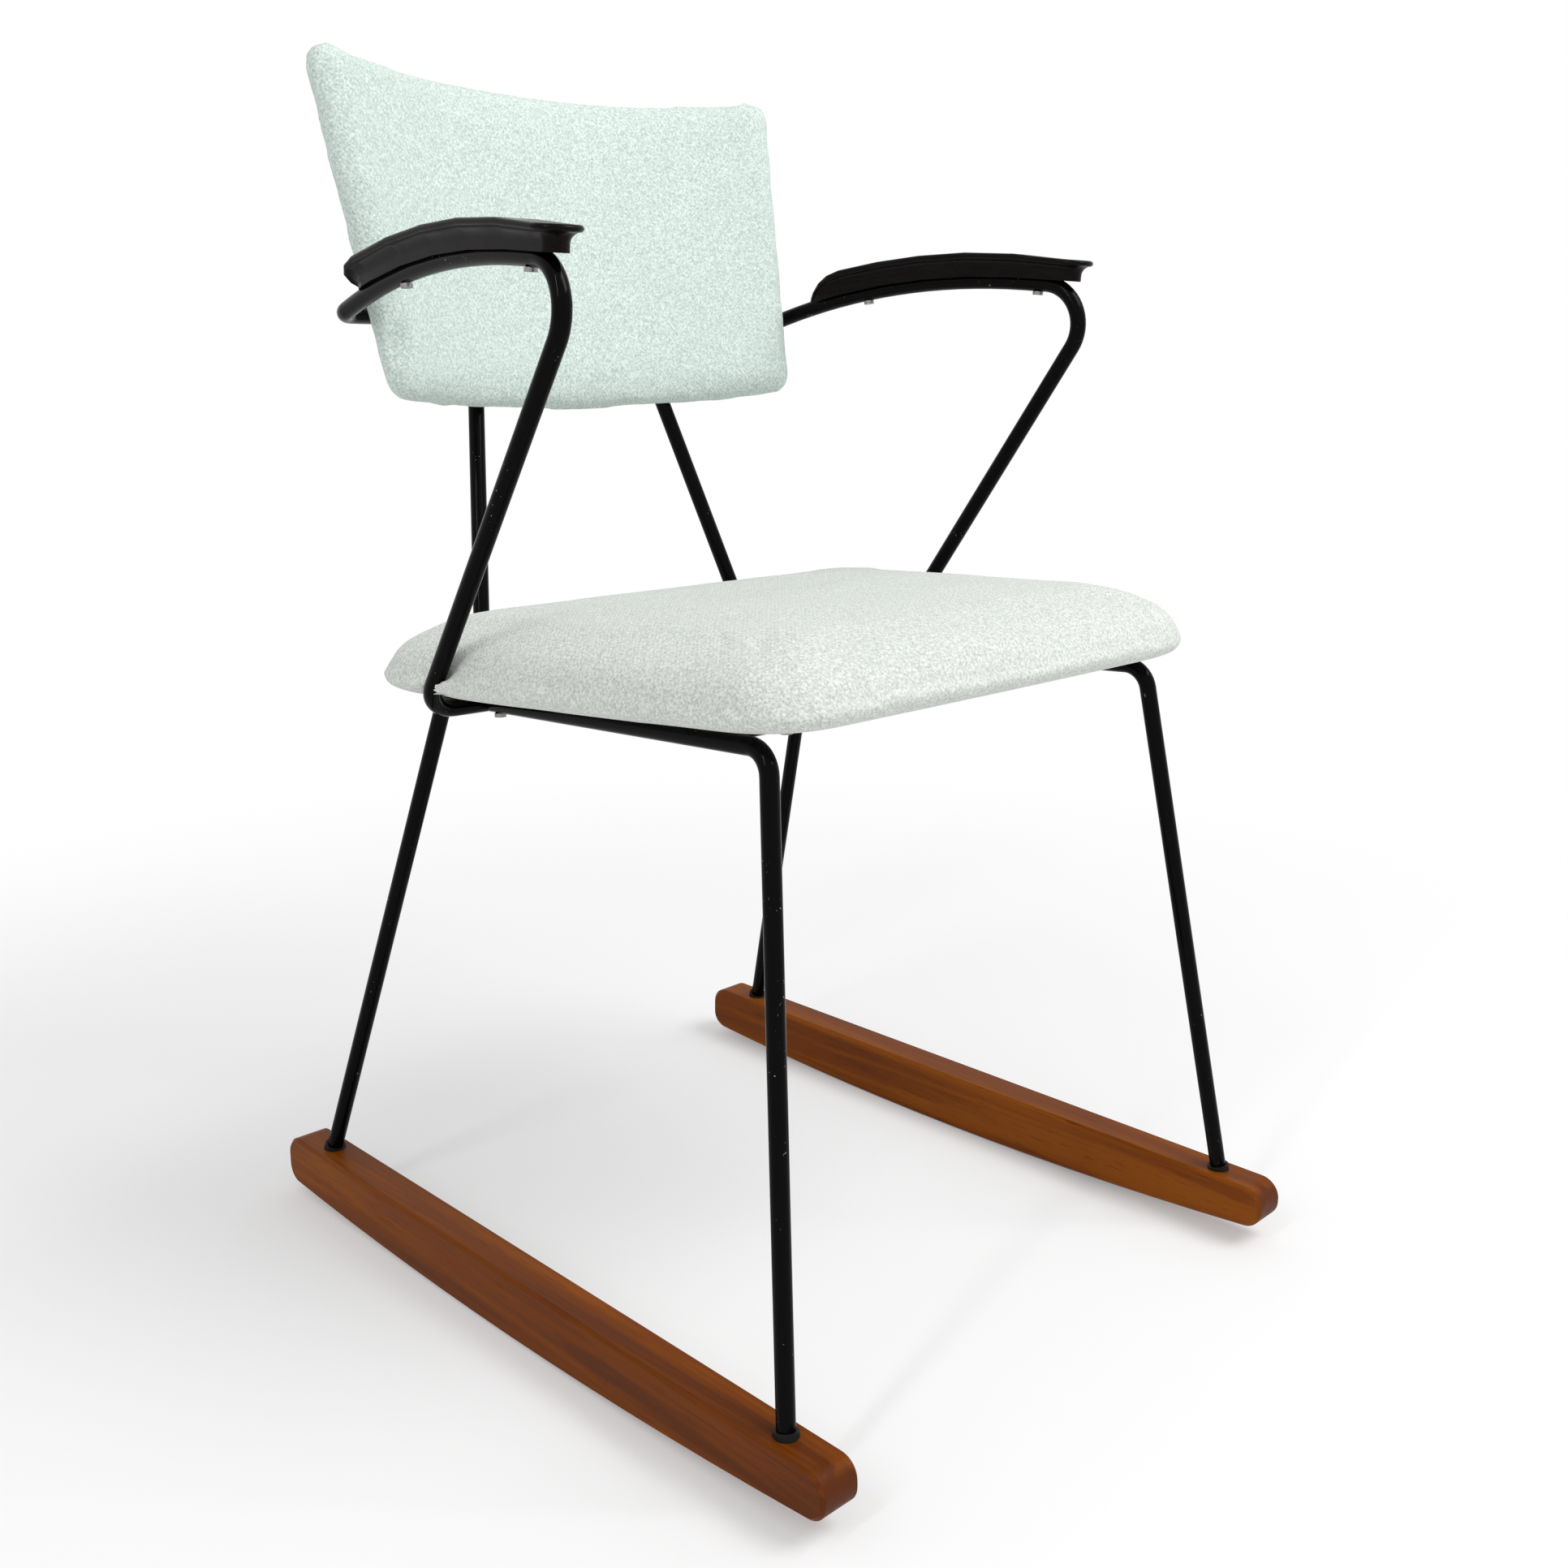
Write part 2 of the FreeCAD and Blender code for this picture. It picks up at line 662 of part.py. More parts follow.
ARM_POINTS = [stub_start, elbow, arm_front, arch_top, arm_rear, bow_end]
ARM_BENDS = [size("elbow_bend"), size("arm_front_bend"), size("arch_radius"), size("bow_bend")]
arm_solid = bent_bar(ARM_POINTS, ARM_BENDS, size("bar_diameter") / 2)
ARM_AXIS_LENGTH = bent_length(ARM_POINTS, ARM_BENDS)


def arch_frame(distance):
    """Point, direction and up on the arch's axis, at a distance along it from the arm's front corner.

    The arch is a straight run, an arc and another straight run. It lies in one upright plane."""
    outward = Vector(1, taper, 0).normalize()
    first = (arch_top - arm_front).normalize()
    second = (arm_rear - arch_top).normalize()
    turn = first.getAngle(second)
    reach = size("arch_radius") * math.tan(turn / 2)
    straight = (arch_top - arm_front).Length - reach
    if distance <= straight:
        return arm_front + first * distance, first, outward.cross(first)
    angle = (distance - straight) / size("arch_radius")
    if angle >= turn:
        onward = distance - straight - turn * size("arch_radius")
        return arch_top + second * (reach + onward), second, outward.cross(second)
    up = outward.cross(first)
    start = arm_front + first * straight
    along = size("arch_radius") * math.sin(angle)
    down = size("arch_radius") * (1 - math.cos(angle))
    direction = first * math.cos(angle) - up * math.sin(angle)
    return start + first * along - up * down, direction, outward.cross(direction)


def arch_distance(reach):
    """Distance along the arch from the arm's front corner to a given Y, near enough for a screw."""
    return (reach - arm_front.y) / math.cos(math.radians(size("arm_taper")))


pad_screws = []
pad_holes = []
for name, reach in (
    ("pad_screw_front", -size("pad_screw_front_reach")),
    ("pad_screw_rear", size("pad_screw_rear_setback")),
):
    place, along, up = arch_frame(arch_distance(reach))
    start = place - up * (size("bar_diameter") / 2)
    pad_screws.append(screw(name, start, up, "sizes.bar_diameter + sizes.screw_bite"))
    pad_holes.append(screw_hole(name, start, up, "sizes.bar_diameter + sizes.screw_bite"))
pad_screw_group = both_sides("armrest_screws", pad_screws)
pad_hole_group = both_sides("armrest_screw_holes", pad_holes)

arm_bar_plain = shape_piece("arm_bar_plain", arm_solid)
arm_bar_left = cut("arm_bar_left", arm_bar_plain, [side_frame_plain, pad_hole_group])
arm_bar_right = mirrored(arm_bar_left, "arm_bar_right")


# Armrest pads: a moulding with a saddle on the bar, hollowed flanks and a rounded rim. Its front end is
# turned about an upright line, and its tail falls to the bar.

PAD_HEIGHT = size("pad_rise") + size("pad_wrap")
PAD_STEPS = 5
PAD_TAIL_SHARES = (0.4, 0.7, 0.9, 0.985)


def pad_marks():
    """The points of half the moulding's section, as distance aside and height above its foot."""
    foot = size("pad_base_width") / 2
    rim = size("pad_width") / 2
    shoulder = rim - size("pad_rim_depth")
    flank_foot = size("pad_flank_foot")
    rim_foot = PAD_HEIGHT - size("pad_rim")
    rim_middle = PAD_HEIGHT - size("pad_rim") / 2
    across = shoulder - foot
    rise = rim_foot - flank_foot
    radius = (across ** 2 + rise ** 2) / (2 * across)
    half_turn = math.atan2(rise, radius - across) / 2
    hollow = (foot + radius - radius * math.cos(half_turn), flank_foot + radius * math.sin(half_turn))
    eighth = math.sqrt(0.5)
    bulge = shoulder + size("pad_rim_depth") * eighth
    return {
        "foot": (foot, 0.0),
        "flank": (foot, flank_foot),
        "hollow": hollow,
        "rim_foot": (shoulder, rim_foot),
        "rim_below": (bulge, rim_middle - size("pad_rim") / 2 * eighth),
        "rim": (rim, rim_middle),
        "rim_above": (bulge, rim_middle + size("pad_rim") / 2 * eighth),
        "rim_top": (shoulder, PAD_HEIGHT),
    }


def pad_point(frame, aside, height):
    """A point of the moulding's section in a frame on the arch."""
    place, along, up = frame
    foot_height = size("bar_diameter") / 2 - size("pad_wrap")
    return place + along.cross(up) * aside + up * (foot_height + height)


def droop(distance):
    """The share of its height that the moulding keeps near its front end."""
    front = size("pad_start") + size("pad_width") / 2
    left = max(0.0, 1 - (distance - front) / size("pad_droop_length"))
    return 1 - size("pad_droop") * left ** 2


def pad_section(distance, width_share, height_share, skew):
    """The moulding's outline at a distance along the arch, narrowed and lowered by the two shares.

    With skew, its outer side lies further back than its inner side, as the moulding's tail does."""
    frame = arch_frame(distance)
    right = {}
    left = {}
    for name, (aside, height) in pad_marks().items():
        aside *= width_share
        height *= height_share * droop(distance)
        right[name] = pad_point(frame, aside, height) + frame[1] * (aside * skew)
        left[name] = pad_point(frame, -aside, height) - frame[1] * (aside * skew)
    return Part.Wire([
        Part.LineSegment(left["foot"], right["foot"]).toShape(),
        Part.LineSegment(right["foot"], right["flank"]).toShape(),
        Part.Arc(right["flank"], right["hollow"], right["rim_foot"]).toShape(),
        Part.Arc(right["rim_foot"], right["rim_below"], right["rim"]).toShape(),
        Part.Arc(right["rim"], right["rim_above"], right["rim_top"]).toShape(),
        Part.LineSegment(right["rim_top"], left["rim_top"]).toShape(),
        Part.Arc(left["rim_top"], left["rim_above"], left["rim"]).toShape(),
        Part.Arc(left["rim"], left["rim_below"], left["rim_foot"]).toShape(),
        Part.Arc(left["rim_foot"], left["hollow"], left["flank"]).toShape(),
        Part.LineSegment(left["flank"], left["foot"]).toShape(),
    ])


def pad_nose(distance):
    """The turned front end: half the section, swung half a turn about the upright line in its middle."""
    frame = arch_frame(distance)
    share = droop(distance)
    marks = {name: pad_point(frame, -aside, height * share) for name, (aside, height) in pad_marks().items()}
    foot = pad_point(frame, 0.0, 0.0)
    top = pad_point(frame, 0.0, PAD_HEIGHT * share)
    outline = Part.Wire([
        Part.LineSegment(foot, marks["foot"]).toShape(),
        Part.LineSegment(marks["foot"], marks["flank"]).toShape(),
        Part.Arc(marks["flank"], marks["hollow"], marks["rim_foot"]).toShape(),
        Part.Arc(marks["rim_foot"], marks["rim_below"], marks["rim"]).toShape(),
        Part.Arc(marks["rim"], marks["rim_above"], marks["rim_top"]).toShape(),
        Part.LineSegment(marks["rim_top"], top).toShape(),
        Part.LineSegment(top, foot).toShape(),
    ])
    return Part.Face(outline).revolve(foot, frame[2], 180)


def armrest():
    """The left moulding before the bar and the screws are let into it."""
    front = size("pad_start") + size("pad_width") / 2
    tail = size("pad_start") + size("pad_length") - size("pad_tail")
    sections = []
    for step in range(PAD_STEPS + 1):
        skew = size("pad_tail_skew") * (step / PAD_STEPS) ** 3
        sections.append(pad_section(front + (tail - front) * step / PAD_STEPS, 1.0, 1.0, skew))
    for share in PAD_TAIL_SHARES:
        narrowing = math.sqrt(1 - share ** 3)
        lowering = math.sqrt(1 - share ** 2)
        distance = tail + size("pad_tail") * share
        sections.append(pad_section(distance, narrowing, lowering, size("pad_tail_skew")))
    return Part.makeLoft(sections, True, True).fuse(pad_nose(front))


groove = bent_bar(ARM_POINTS, ARM_BENDS, size("bar_diameter") / 2 + size("pad_groove_fit"))
armrest_plain = shape_piece("armrest_plain", armrest().cut(groove))
armrest_left = cut("armrest_left", armrest_plain, [pad_hole_group])
armrest_right = mirrored(armrest_left, "armrest_right")


def chorded(wire, counts):
    """The wire with each of its edges divided into a number of straight runs."""
    points = []
    for edge, count in zip(wire.Edges, counts):
        places = edge.discretize(Number=count + 1)
        if points and points[-1].distanceToPoint(places[0]) > points[-1].distanceToPoint(places[-1]):
            places.reverse()
        points += places[1:] if points else places
    points[-1] = points[0]
    return Part.makePolygon(points)


# Seat pad outline: four gently bowed sides with rounded corners, in the seat's own frame

def seat_rear():
    """Where the pad's widest line stops at the rear, clear of the uprights."""
    bulge = number(COVER_FOOT) + size("seat_bulge_height")
    height = SEAT_PLACE.multVec(Vector(0, REAR_BAR_Y, bulge)).z
    upright_face = upright_at_height(height).y - size("bar_diameter") / 2 / math.cos(recline)
    return SEAT_PLACE.inverse().multVec(Vector(0, upright_face - size("seat_rear_gap"), height)).y


SEAT_REAR = seat_rear()
SEAT_FRONT = SEAT_REAR - size("seat_depth")
SEAT_CORNERS = [
    Vector(-size("seat_front_half_width"), SEAT_FRONT, 0),
    Vector(size("seat_front_half_width"), SEAT_FRONT, 0),
    Vector(size("seat_rear_half_width"), SEAT_REAR, 0),
    Vector(-size("seat_rear_half_width"), SEAT_REAR, 0),
]
SEAT_BOWS = [size("seat_front_bow"), size("seat_side_bow"), size("seat_rear_bow"), size("seat_side_bow")]
SEAT_ROUNDS = [
    size("seat_front_corner"), size("seat_front_corner"), size("seat_rear_corner"), size("seat_rear_corner"),
]


# Steps of the pad's form: straight runs in each corner and side of its outline, steps in each half of
# its nose, and shares of the way in over its crown
SEAT_RUNS = (5, 4) * 4
NOSE_STEPS = 4
CROWN_SHARES = (1.0, 0.6)


def bowed_side(start, end, bow):
    """Centre and radius of the arc from one corner to the next that bulges outwards by bow."""
    half = (end - start) * 0.5
    radius = (half.Length ** 2 + bow ** 2) / (2 * bow)
    outward = half.cross(Z_AXIS).normalize()
    return start + half - outward * (radius - bow), radius


def round_centre(first, second, radius, corner):
    """Centre of the round that touches two side arcs from inside, near their corner."""
    reach_a = first[1] - radius
    reach_b = second[1] - radius
    across = second[0] - first[0]
    along = (across.Length ** 2 + reach_a ** 2 - reach_b ** 2) / (2 * across.Length)
    aside = math.sqrt(reach_a ** 2 - along ** 2)
    unit = Vector(across).normalize()
    foot = first[0] + unit * along
    offset = unit.cross(Z_AXIS) * aside
    return min((foot + offset, foot - offset), key=lambda place: (place - corner).Length)


def seat_edges(inset, height):
    """The arcs of the pad's outline, drawn in by inset, at a height above the frame."""
    lift = Vector(0, 0, height)
    sides = []
    for index in range(4):
        centre, radius = bowed_side(SEAT_CORNERS[index], SEAT_CORNERS[(index + 1) % 4], SEAT_BOWS[index])
        sides.append((centre, radius - inset))
    rounds = []
    for index in range(4):
        radius = SEAT_ROUNDS[index] * math.exp(-inset / size("seat_rear_corner") / 2)
        centre = round_centre(sides[index - 1], sides[index], radius, SEAT_CORNERS[index])
        ends = [centre + (centre - side[0]).normalize() * radius for side in (sides[index - 1], sides[index])]
        middle = centre + ((ends[0] + ends[1]) * 0.5 - centre).normalize() * radius
        rounds.append((ends[0], middle, ends[1]))
    arcs = []
    for index in range(4):
        arcs.append([place + lift for place in rounds[index]])
        start = rounds[index][2]
        end = rounds[(index + 1) % 4][0]
        centre, radius = sides[index]
        middle = centre + ((start + end) * 0.5 - centre).normalize() * radius
        arcs.append([start + lift, middle + lift, end + lift])
    return [Part.Arc(*places) for places in arcs]


def seat_outline(inset, height):
    """The pad's outline as a wire."""
    return Part.Wire([arc.toShape() for arc in seat_edges(inset, height)])


def seat_pillow(skin):
    """The pad's body, drawn in by skin all round: flat foot, rounded bulge, long upper nose and crown."""
    edge = size("seat_edge_height")
    bulge = size("seat_bulge_height")
    half = size("seat_front_half_width")
    foot = number(COVER_FOOT) + skin
    squeeze = (edge - 2 * skin) / edge
    marks = []
    for step in range(-NOSE_STEPS, 1):
        angle = math.pi / 2 * step / NOSE_STEPS
        marks.append((size("seat_lower_nose") * (1 - math.cos(angle)), bulge * (1 + math.sin(angle))))
    for step in range(1, NOSE_STEPS):
        angle = math.pi / 2 * step / NOSE_STEPS
        rise = (edge - bulge) * math.sin(angle)
        marks.append((size("seat_upper_nose") * (1 - math.cos(angle)), bulge + rise))
    for share in CROWN_SHARES:
        inset = half - (half - size("seat_upper_nose")) * share
        marks.append((inset, edge + size("seat_crown") * (1 - share ** 2)))
    wires = [seat_outline(inset + skin, foot + height * squeeze) for inset, height in marks]
    return Part.makeLoft([chorded(wire, SEAT_RUNS) for wire in wires], True, True)


def arm_room(gap):
    """The room that both arm bars take from the pad, in the seat's own frame."""
    room = bent_bar(ARM_POINTS, ARM_BENDS, size("bar_diameter") / 2 + gap)
    pair = Part.makeCompound([room, room.mirror(ORIGIN, X_AXIS)])
    pair.Placement = SEAT_PLACE.inverse()
    return pair


def seat_holes_local():
    """The seat screws' holes in the seat's own frame."""
    holes = seat_hole_group.Shape.copy()
    holes.Placement = SEAT_PLACE.inverse()
    return holes


doc.recompute()


def seat_plate(name, inset, thickness, foot, chamfer=None):
    """A flat piece of the pad with its outline, before the screws go through it."""
    body = doc.addObject("PartDesign::Body", name + "_plain")
    plane = [feature for feature in body.Origin.OriginFeatures if feature.Role == "XY_Plane"][0]
    sketch = body.newObject("Sketcher::SketchObject", name + "_outline")
    sketch.AttachmentSupport = [(plane, "")]
    sketch.MapMode = "FlatFace"
    for arc in seat_edges(inset, 0):
        index = sketch.addGeometry(arc)
        sketch.addConstraint(Sketcher.Constraint("Block", index))
    plate = body.newObject("PartDesign::Pad", name + "_pad")
    plate.Profile = sketch
    bind(plate, Length=thickness)
    if chamfer:
        doc.recompute()
        edges = []
        for index, edge in enumerate(plate.Shape.Edges, start=1):
            if edge.BoundBox.ZMax < 0.01:
                edges.append(f"Edge{index}")
        bevel = body.newObject("PartDesign::Chamfer", name + "_bevel")
        bevel.Base = (plate, edges)
        bind(bevel, Size=chamfer)
    lift = SEAT_PLACE.multVec(Vector(0, 0, number(foot)))
    body.Placement = Placement(lift, SEAT_PLACE.Rotation)
    return cut(name, body, [seat_hole_group])


seat_board = seat_plate(
    "seat_board", size("seat_board_margin"), "sizes.seat_board_thickness", BOARD_FOOT,
    "sizes.seat_board_chamfer",
)
seat_base_cloth = seat_plate(
    "seat_base_cloth", size("seat_board_margin") + size("base_cloth_margin"), "sizes.base_cloth_thickness",
    "sizes.contact_gap",
)


def seat_soft():
    """Foam and cover of the seat, each in the seat's own frame."""
    skin = size("cover_thickness")
    gap = size("contact_gap")
    outer = seat_pillow(0.0).cut(arm_room(gap))
    inner = seat_pillow(skin).cut(arm_room(gap + skin))
    hem = seat_outline(size("seat_board_margin") + size("hem_width"), 0.0)
    hem_room = Part.Face(hem).extrude(Vector(0, 0, number(BOARD_FOOT)))
    cover = outer.cut(inner).cut(hem_room).cut(seat_holes_local())
    loose = size("soft_gap")
    filling = seat_pillow(skin + loose).cut(arm_room(gap + skin + loose))
    board_room = Part.Face(seat_outline(size("seat_board_margin") - loose, 0.0))
    board_top = number(BOARD_FOOT) + size("seat_board_thickness") + loose
    foam = filling.cut(board_room.extrude(Vector(0, 0, board_top)))
    return foam, cover


seat_foam_shape, seat_cover_shape = seat_soft()
seat_foam = shape_piece("seat_foam", seat_foam_shape, SEAT_PLACE)
seat_cover = shape_piece("seat_cover", seat_cover_shape, SEAT_PLACE)


# Back panel, in its own frame: part of a cylinder about an upright line in front of it.
# Its outline is lofted through sections at these shares of its rounded edge's depth.
EDGE_SHARES = (0.02, 0.12, 0.35, 0.7, 1.1)
BACK_RUNS = (8, 8, 3, 3, 8, 8, 3, 3)

def round_panel(angle, radius, height):
    """A point at an angle about the panel's line of curvature."""
    return Vector(radius * math.sin(angle), radius * math.cos(angle) - size("back_radius"), height)


def back_section(height, skin):
    """The panel's outline at a height, drawn in by skin: two faces and a rounded nose at each side."""
    radius = size("back_radius")
    depth = size("back_edge_depth") - skin
    half = size("back_thickness") / 2 - skin
    up = height - skin
    down = size("back_height") - skin - height
    from_end = min(up, down)
    if from_end < depth:
        half *= math.sqrt(1 - (1 - from_end / depth) ** 2)
        depth *= math.sqrt(1 - (1 - from_end / depth) ** 2)
    share = height / size("back_height")
    width = size("back_foot_half_width") - skin
    width += (size("back_head_half_width") - size("back_foot_half_width")) * share
    corner = (size("back_foot_corner") if up < down else size("back_head_corner")) - skin
    if from_end < corner:
        width -= corner - math.sqrt(corner ** 2 - (corner - from_end) ** 2)
    flat = (width - depth) / radius
    tip = width / radius
    eighth = flat + depth * math.sqrt(0.5) / radius
    partly = half * math.sqrt(0.5)

    def arc(*places):
        return Part.Arc(*[round_panel(angle, reach, height) for angle, reach in places]).toShape()

    return Part.Wire([
        arc((-flat, radius + half), (-flat / 2, radius + half), (0, radius + half)),
        arc((0, radius + half), (flat / 2, radius + half), (flat, radius + half)),
        arc((flat, radius + half), (eighth, radius + partly), (tip, radius)),
        arc((tip, radius), (eighth, radius - partly), (flat, radius - half)),
        arc((flat, radius - half), (flat / 2, radius - half), (0, radius - half)),
        arc((0, radius - half), (-flat / 2, radius - half), (-flat, radius - half)),
        arc((-flat, radius - half), (-eighth, radius - partly), (-tip, radius)),
        arc((-tip, radius), (-eighth, radius + partly), (-flat, radius + half)),
    ])


def back_pillow(skin):
    """The panel's body, drawn in by skin all round."""
    depth = size("back_edge_depth") - skin
    near = [depth * share for share in EDGE_SHARES]
    heights = [skin + distance for distance in near]
    heights += [size("back_height") - skin - distance for distance in reversed(near)]
    return Part.makeLoft([chorded(back_section(height, skin), BACK_RUNS) for height in heights], True, True)


def board_blank(name, gap):
    """The curved back board, grown all round by gap."""
    body = doc.addObject("PartDesign::Body", name + "_outline")
    plane = [feature for feature in body.Origin.OriginFeatures if feature.Role == "XZ_Plane"][0]
    sketch = body.newObject("Sketcher::SketchObject", name + "_sketch")
    sketch.AttachmentSupport = [(plane, "")]
    sketch.MapMode = "FlatFace"
    margin = f"(sizes.back_board_margin - {gap})"
    foot_half = f"sizes.back_radius * sin((sizes.back_foot_half_width - {margin}) / sizes.back_radius * 1rad)"
    head_half = f"sizes.back_radius * sin((sizes.back_head_half_width - {margin}) / sizes.back_radius * 1rad)"
    low = margin
    high = f"sizes.back_height - {margin}"
    corners = [
        (-number(foot_half), number(low)),
        (number(foot_half), number(low)),
        (number(head_half), number(high)),
        (-number(head_half), number(high)),
    ]
    for index in range(4):
        start = Vector(*corners[index], 0)
        end = Vector(*corners[(index + 1) % 4], 0)
        sketch.addGeometry(Part.LineSegment(start, end))
    for index in range(4):
        sketch.addConstraint(Sketcher.Constraint("Coincident", index, 2, (index + 1) % 4, 1))
    driven = [
        ("foot_right", "DistanceX", 0, 2, corners[1][0], foot_half),
        ("foot_low", "DistanceY", 0, 2, corners[1][1], low),
        ("head_right", "DistanceX", 2, 1, corners[2][0], head_half),
        ("head_high", "DistanceY", 2, 1, corners[2][1], high),
    ]
    for label, kind, line, end, amount, expression in driven:
        index = sketch.addConstraint(Sketcher.Constraint(kind, -1, 1, line, end, amount))
        sketch.renameConstraint(index, label)
        sketch.setExpression(f"Constraints.{label}", expression)
    sketch.addConstraint(Sketcher.Constraint("Symmetric", 0, 1, 0, 2, -2))
    sketch.addConstraint(Sketcher.Constraint("Symmetric", 2, 1, 2, 2, -2))
    slab = body.newObject("PartDesign::Pad", name + "_slab")
    slab.Profile = sketch
    slab.SideType = "Symmetric"
    bind(slab, Length="sizes.back_radius")
    doc.recompute()
    edges = []
    for index, edge in enumerate(slab.Shape.Edges, start=1):
        if edge.BoundBox.XLength < 0.01 and edge.BoundBox.ZLength < 0.01:
            edges.append(f"Edge{index}")
    rounds = body.newObject("PartDesign::Fillet", name + "_rounds")
    rounds.Base = (slab, edges)
    bind(rounds, Radius="sizes.back_foot_corner / 2")

    rear = "sizes.back_radius + sizes.back_thickness / 2 - sizes.cover_thickness - sizes.back_wadding"
    outer = doc.addObject("Part::Cylinder", name + "_rear_face")
    bind(outer, Radius=f"{rear} + {gap}", Height="sizes.back_height")
    inner = doc.addObject("Part::Cylinder", name + "_front_face")
    bind(inner, Radius=f"{rear} - sizes.back_board_thickness - {gap}", Height="sizes.back_height")
    for cylinder in (outer, inner):
        cylinder.Placement = Placement(Vector(0, -size("back_radius"), 0), Rotation())
    sheet = cut(name + "_curve", outer, [inner])
    blank = doc.addObject("Part::Common", name + "_blank")
    blank.Base = sheet
    blank.Tool = body
    return blank


back_board = cut("back_board", board_blank("back_board", "0"), [back_hole_group])
back_board.Placement = PANEL_PLACE
board_room = board_blank("board_room", "sizes.soft_gap")
doc.recompute()


def back_soft():
    """Foam and cover of the back panel, each in the panel's own frame."""
    skin = size("cover_thickness")
    holes = back_hole_group.Shape
    cover = back_pillow(0.0).cut(back_pillow(skin)).cut(holes)
    foam = back_pillow(skin + size("soft_gap")).cut(board_room.Shape).cut(holes)
    return foam, cover


back_foam_shape, back_cover_shape = back_soft()
back_foam = shape_piece("back_foam", back_foam_shape, PANEL_PLACE)
back_cover = shape_piece("back_cover", back_cover_shape, PANEL_PLACE)


# Checks and export

PIECES = [
    rocker_right, rocker_left, leg_bushes,
    front_leg_rail_right, front_leg_rail_left, rear_leg_right, rear_leg_left,
    front_cross_bar, rear_cross_bar,
    arm_bar_right, arm_bar_left, back_bow, back_upright_right, back_upright_left,
    seat_board, seat_foam, seat_cover, seat_base_cloth, seat_screw_group,
    back_board, back_foam, back_cover, back_screw_group,
    armrest_right, armrest_left, pad_screw_group,
]

doc.recompute()
for item in doc.Objects:
    if "Invalid" in item.State or "Error" in item.State:
        raise RuntimeError(f"{item.Name} failed: {item.State}")

expected = math.pi * (size("bar_diameter") / 2) ** 2 * ARM_AXIS_LENGTH
print(f"arm bar: axis {ARM_AXIS_LENGTH:.1f} mm, volume over expected {arm_solid.Volume / expected:.4f}")
print(f"seat pad: widest line from {SEAT_FRONT:.1f} to {SEAT_REAR:.1f} mm along the seat")

os.makedirs("parts", exist_ok=True)
for piece in PIECES:
    shape = piece.Shape
    if shape.isNull() or not shape.isValid():
        raise RuntimeError(f"{piece.Label} has no valid shape")
    shape.exportStep(f"parts/{piece.Label}.step")
    print(f"{piece.Label}: {len(shape.Solids)} solids, {shape.Volume:.0f} mm3")
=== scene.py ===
import math

import bmesh
import bpy
from mathutils import Matrix, Vector, noise
from mathutils.geometry import intersect_point_line


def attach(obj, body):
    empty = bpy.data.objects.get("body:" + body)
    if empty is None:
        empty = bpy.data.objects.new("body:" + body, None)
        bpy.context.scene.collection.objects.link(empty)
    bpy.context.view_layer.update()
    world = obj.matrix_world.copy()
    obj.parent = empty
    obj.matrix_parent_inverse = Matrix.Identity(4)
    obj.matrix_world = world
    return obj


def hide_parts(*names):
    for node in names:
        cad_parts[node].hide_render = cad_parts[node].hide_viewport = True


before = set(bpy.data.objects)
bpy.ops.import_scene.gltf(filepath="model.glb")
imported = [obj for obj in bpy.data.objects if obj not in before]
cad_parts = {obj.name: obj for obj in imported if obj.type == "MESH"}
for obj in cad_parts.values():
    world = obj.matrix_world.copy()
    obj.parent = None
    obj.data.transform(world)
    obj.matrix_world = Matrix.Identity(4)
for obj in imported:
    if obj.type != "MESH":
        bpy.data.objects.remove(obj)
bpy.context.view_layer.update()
MM = 0.001

# Rockers: two runners sawn from hardwood, with a flat top and a curved sole.
# They are stained orange-brown and oiled. The grain runs along them, and
# the cut ends have drunk more oil and are darker.
GRAIN_STRETCH = (75.0, 3.2, 75.0)
FIGURE_STRETCH = (16.0, 0.9, 16.0)
PORE_STRETCH = (1100.0, 45.0, 1100.0)
WOOD_DARK = (0.092, 0.021, 0.0018, 1)
WOOD_MID = (0.160, 0.037, 0.0018, 1)
WOOD_LIGHT = (0.235, 0.062, 0.0035, 1)
WOOD_END = (0.092, 0.022, 0.0045, 1)


def put(tree, kind, inputs=None, **settings):
    """Adds a shader node and gives its sockets values or links."""
    node = tree.nodes.new(kind)
    for name, value in settings.items():
        setattr(node, name, value)
    for key, value in (inputs or {}).items():
        socket = node.inputs[key]
        if isinstance(value, bpy.types.NodeSocket):
            tree.links.new(value, socket)
        else:
            socket.default_value = value
    return node


def calc(tree, operation, *values):
    """One math node."""
    node = put(tree, "ShaderNodeMath", dict(enumerate(values)), operation=operation)
    return node.outputs[0]


def ramp(tree, value, low, high, to_low=0.0, to_high=1.0):
    """A value taken from one range to another, and kept inside it."""
    node = put(tree, "ShaderNodeMapRange", {
        "Value": value, "From Min": low, "From Max": high,
        "To Min": to_low, "To Max": to_high}, interpolation_type="SMOOTHSTEP")
    return node.outputs[0]


def blend_colour(tree, share, first, second, mode="MIX"):
    """A mix of two colours."""
    node = put(tree, "ShaderNodeMix", {0: share, 6: first, 7: second},
               data_type="RGBA", blend_type=mode)
    return node.outputs[2]


def grain(tree, vector, scale, detail=4.0, rough=0.6, distortion=0.0, stretch=None):
    """A noise value, stretched where a stretch is given."""
    if stretch:
        vector = put(tree, "ShaderNodeMapping",
                     {"Vector": vector, "Scale": stretch}).outputs[0]
    node = put(tree, "ShaderNodeTexNoise", {
        "Vector": vector, "Scale": scale, "Detail": detail,
        "Roughness": rough, "Distortion": distortion})
    return node.outputs["Fac"]


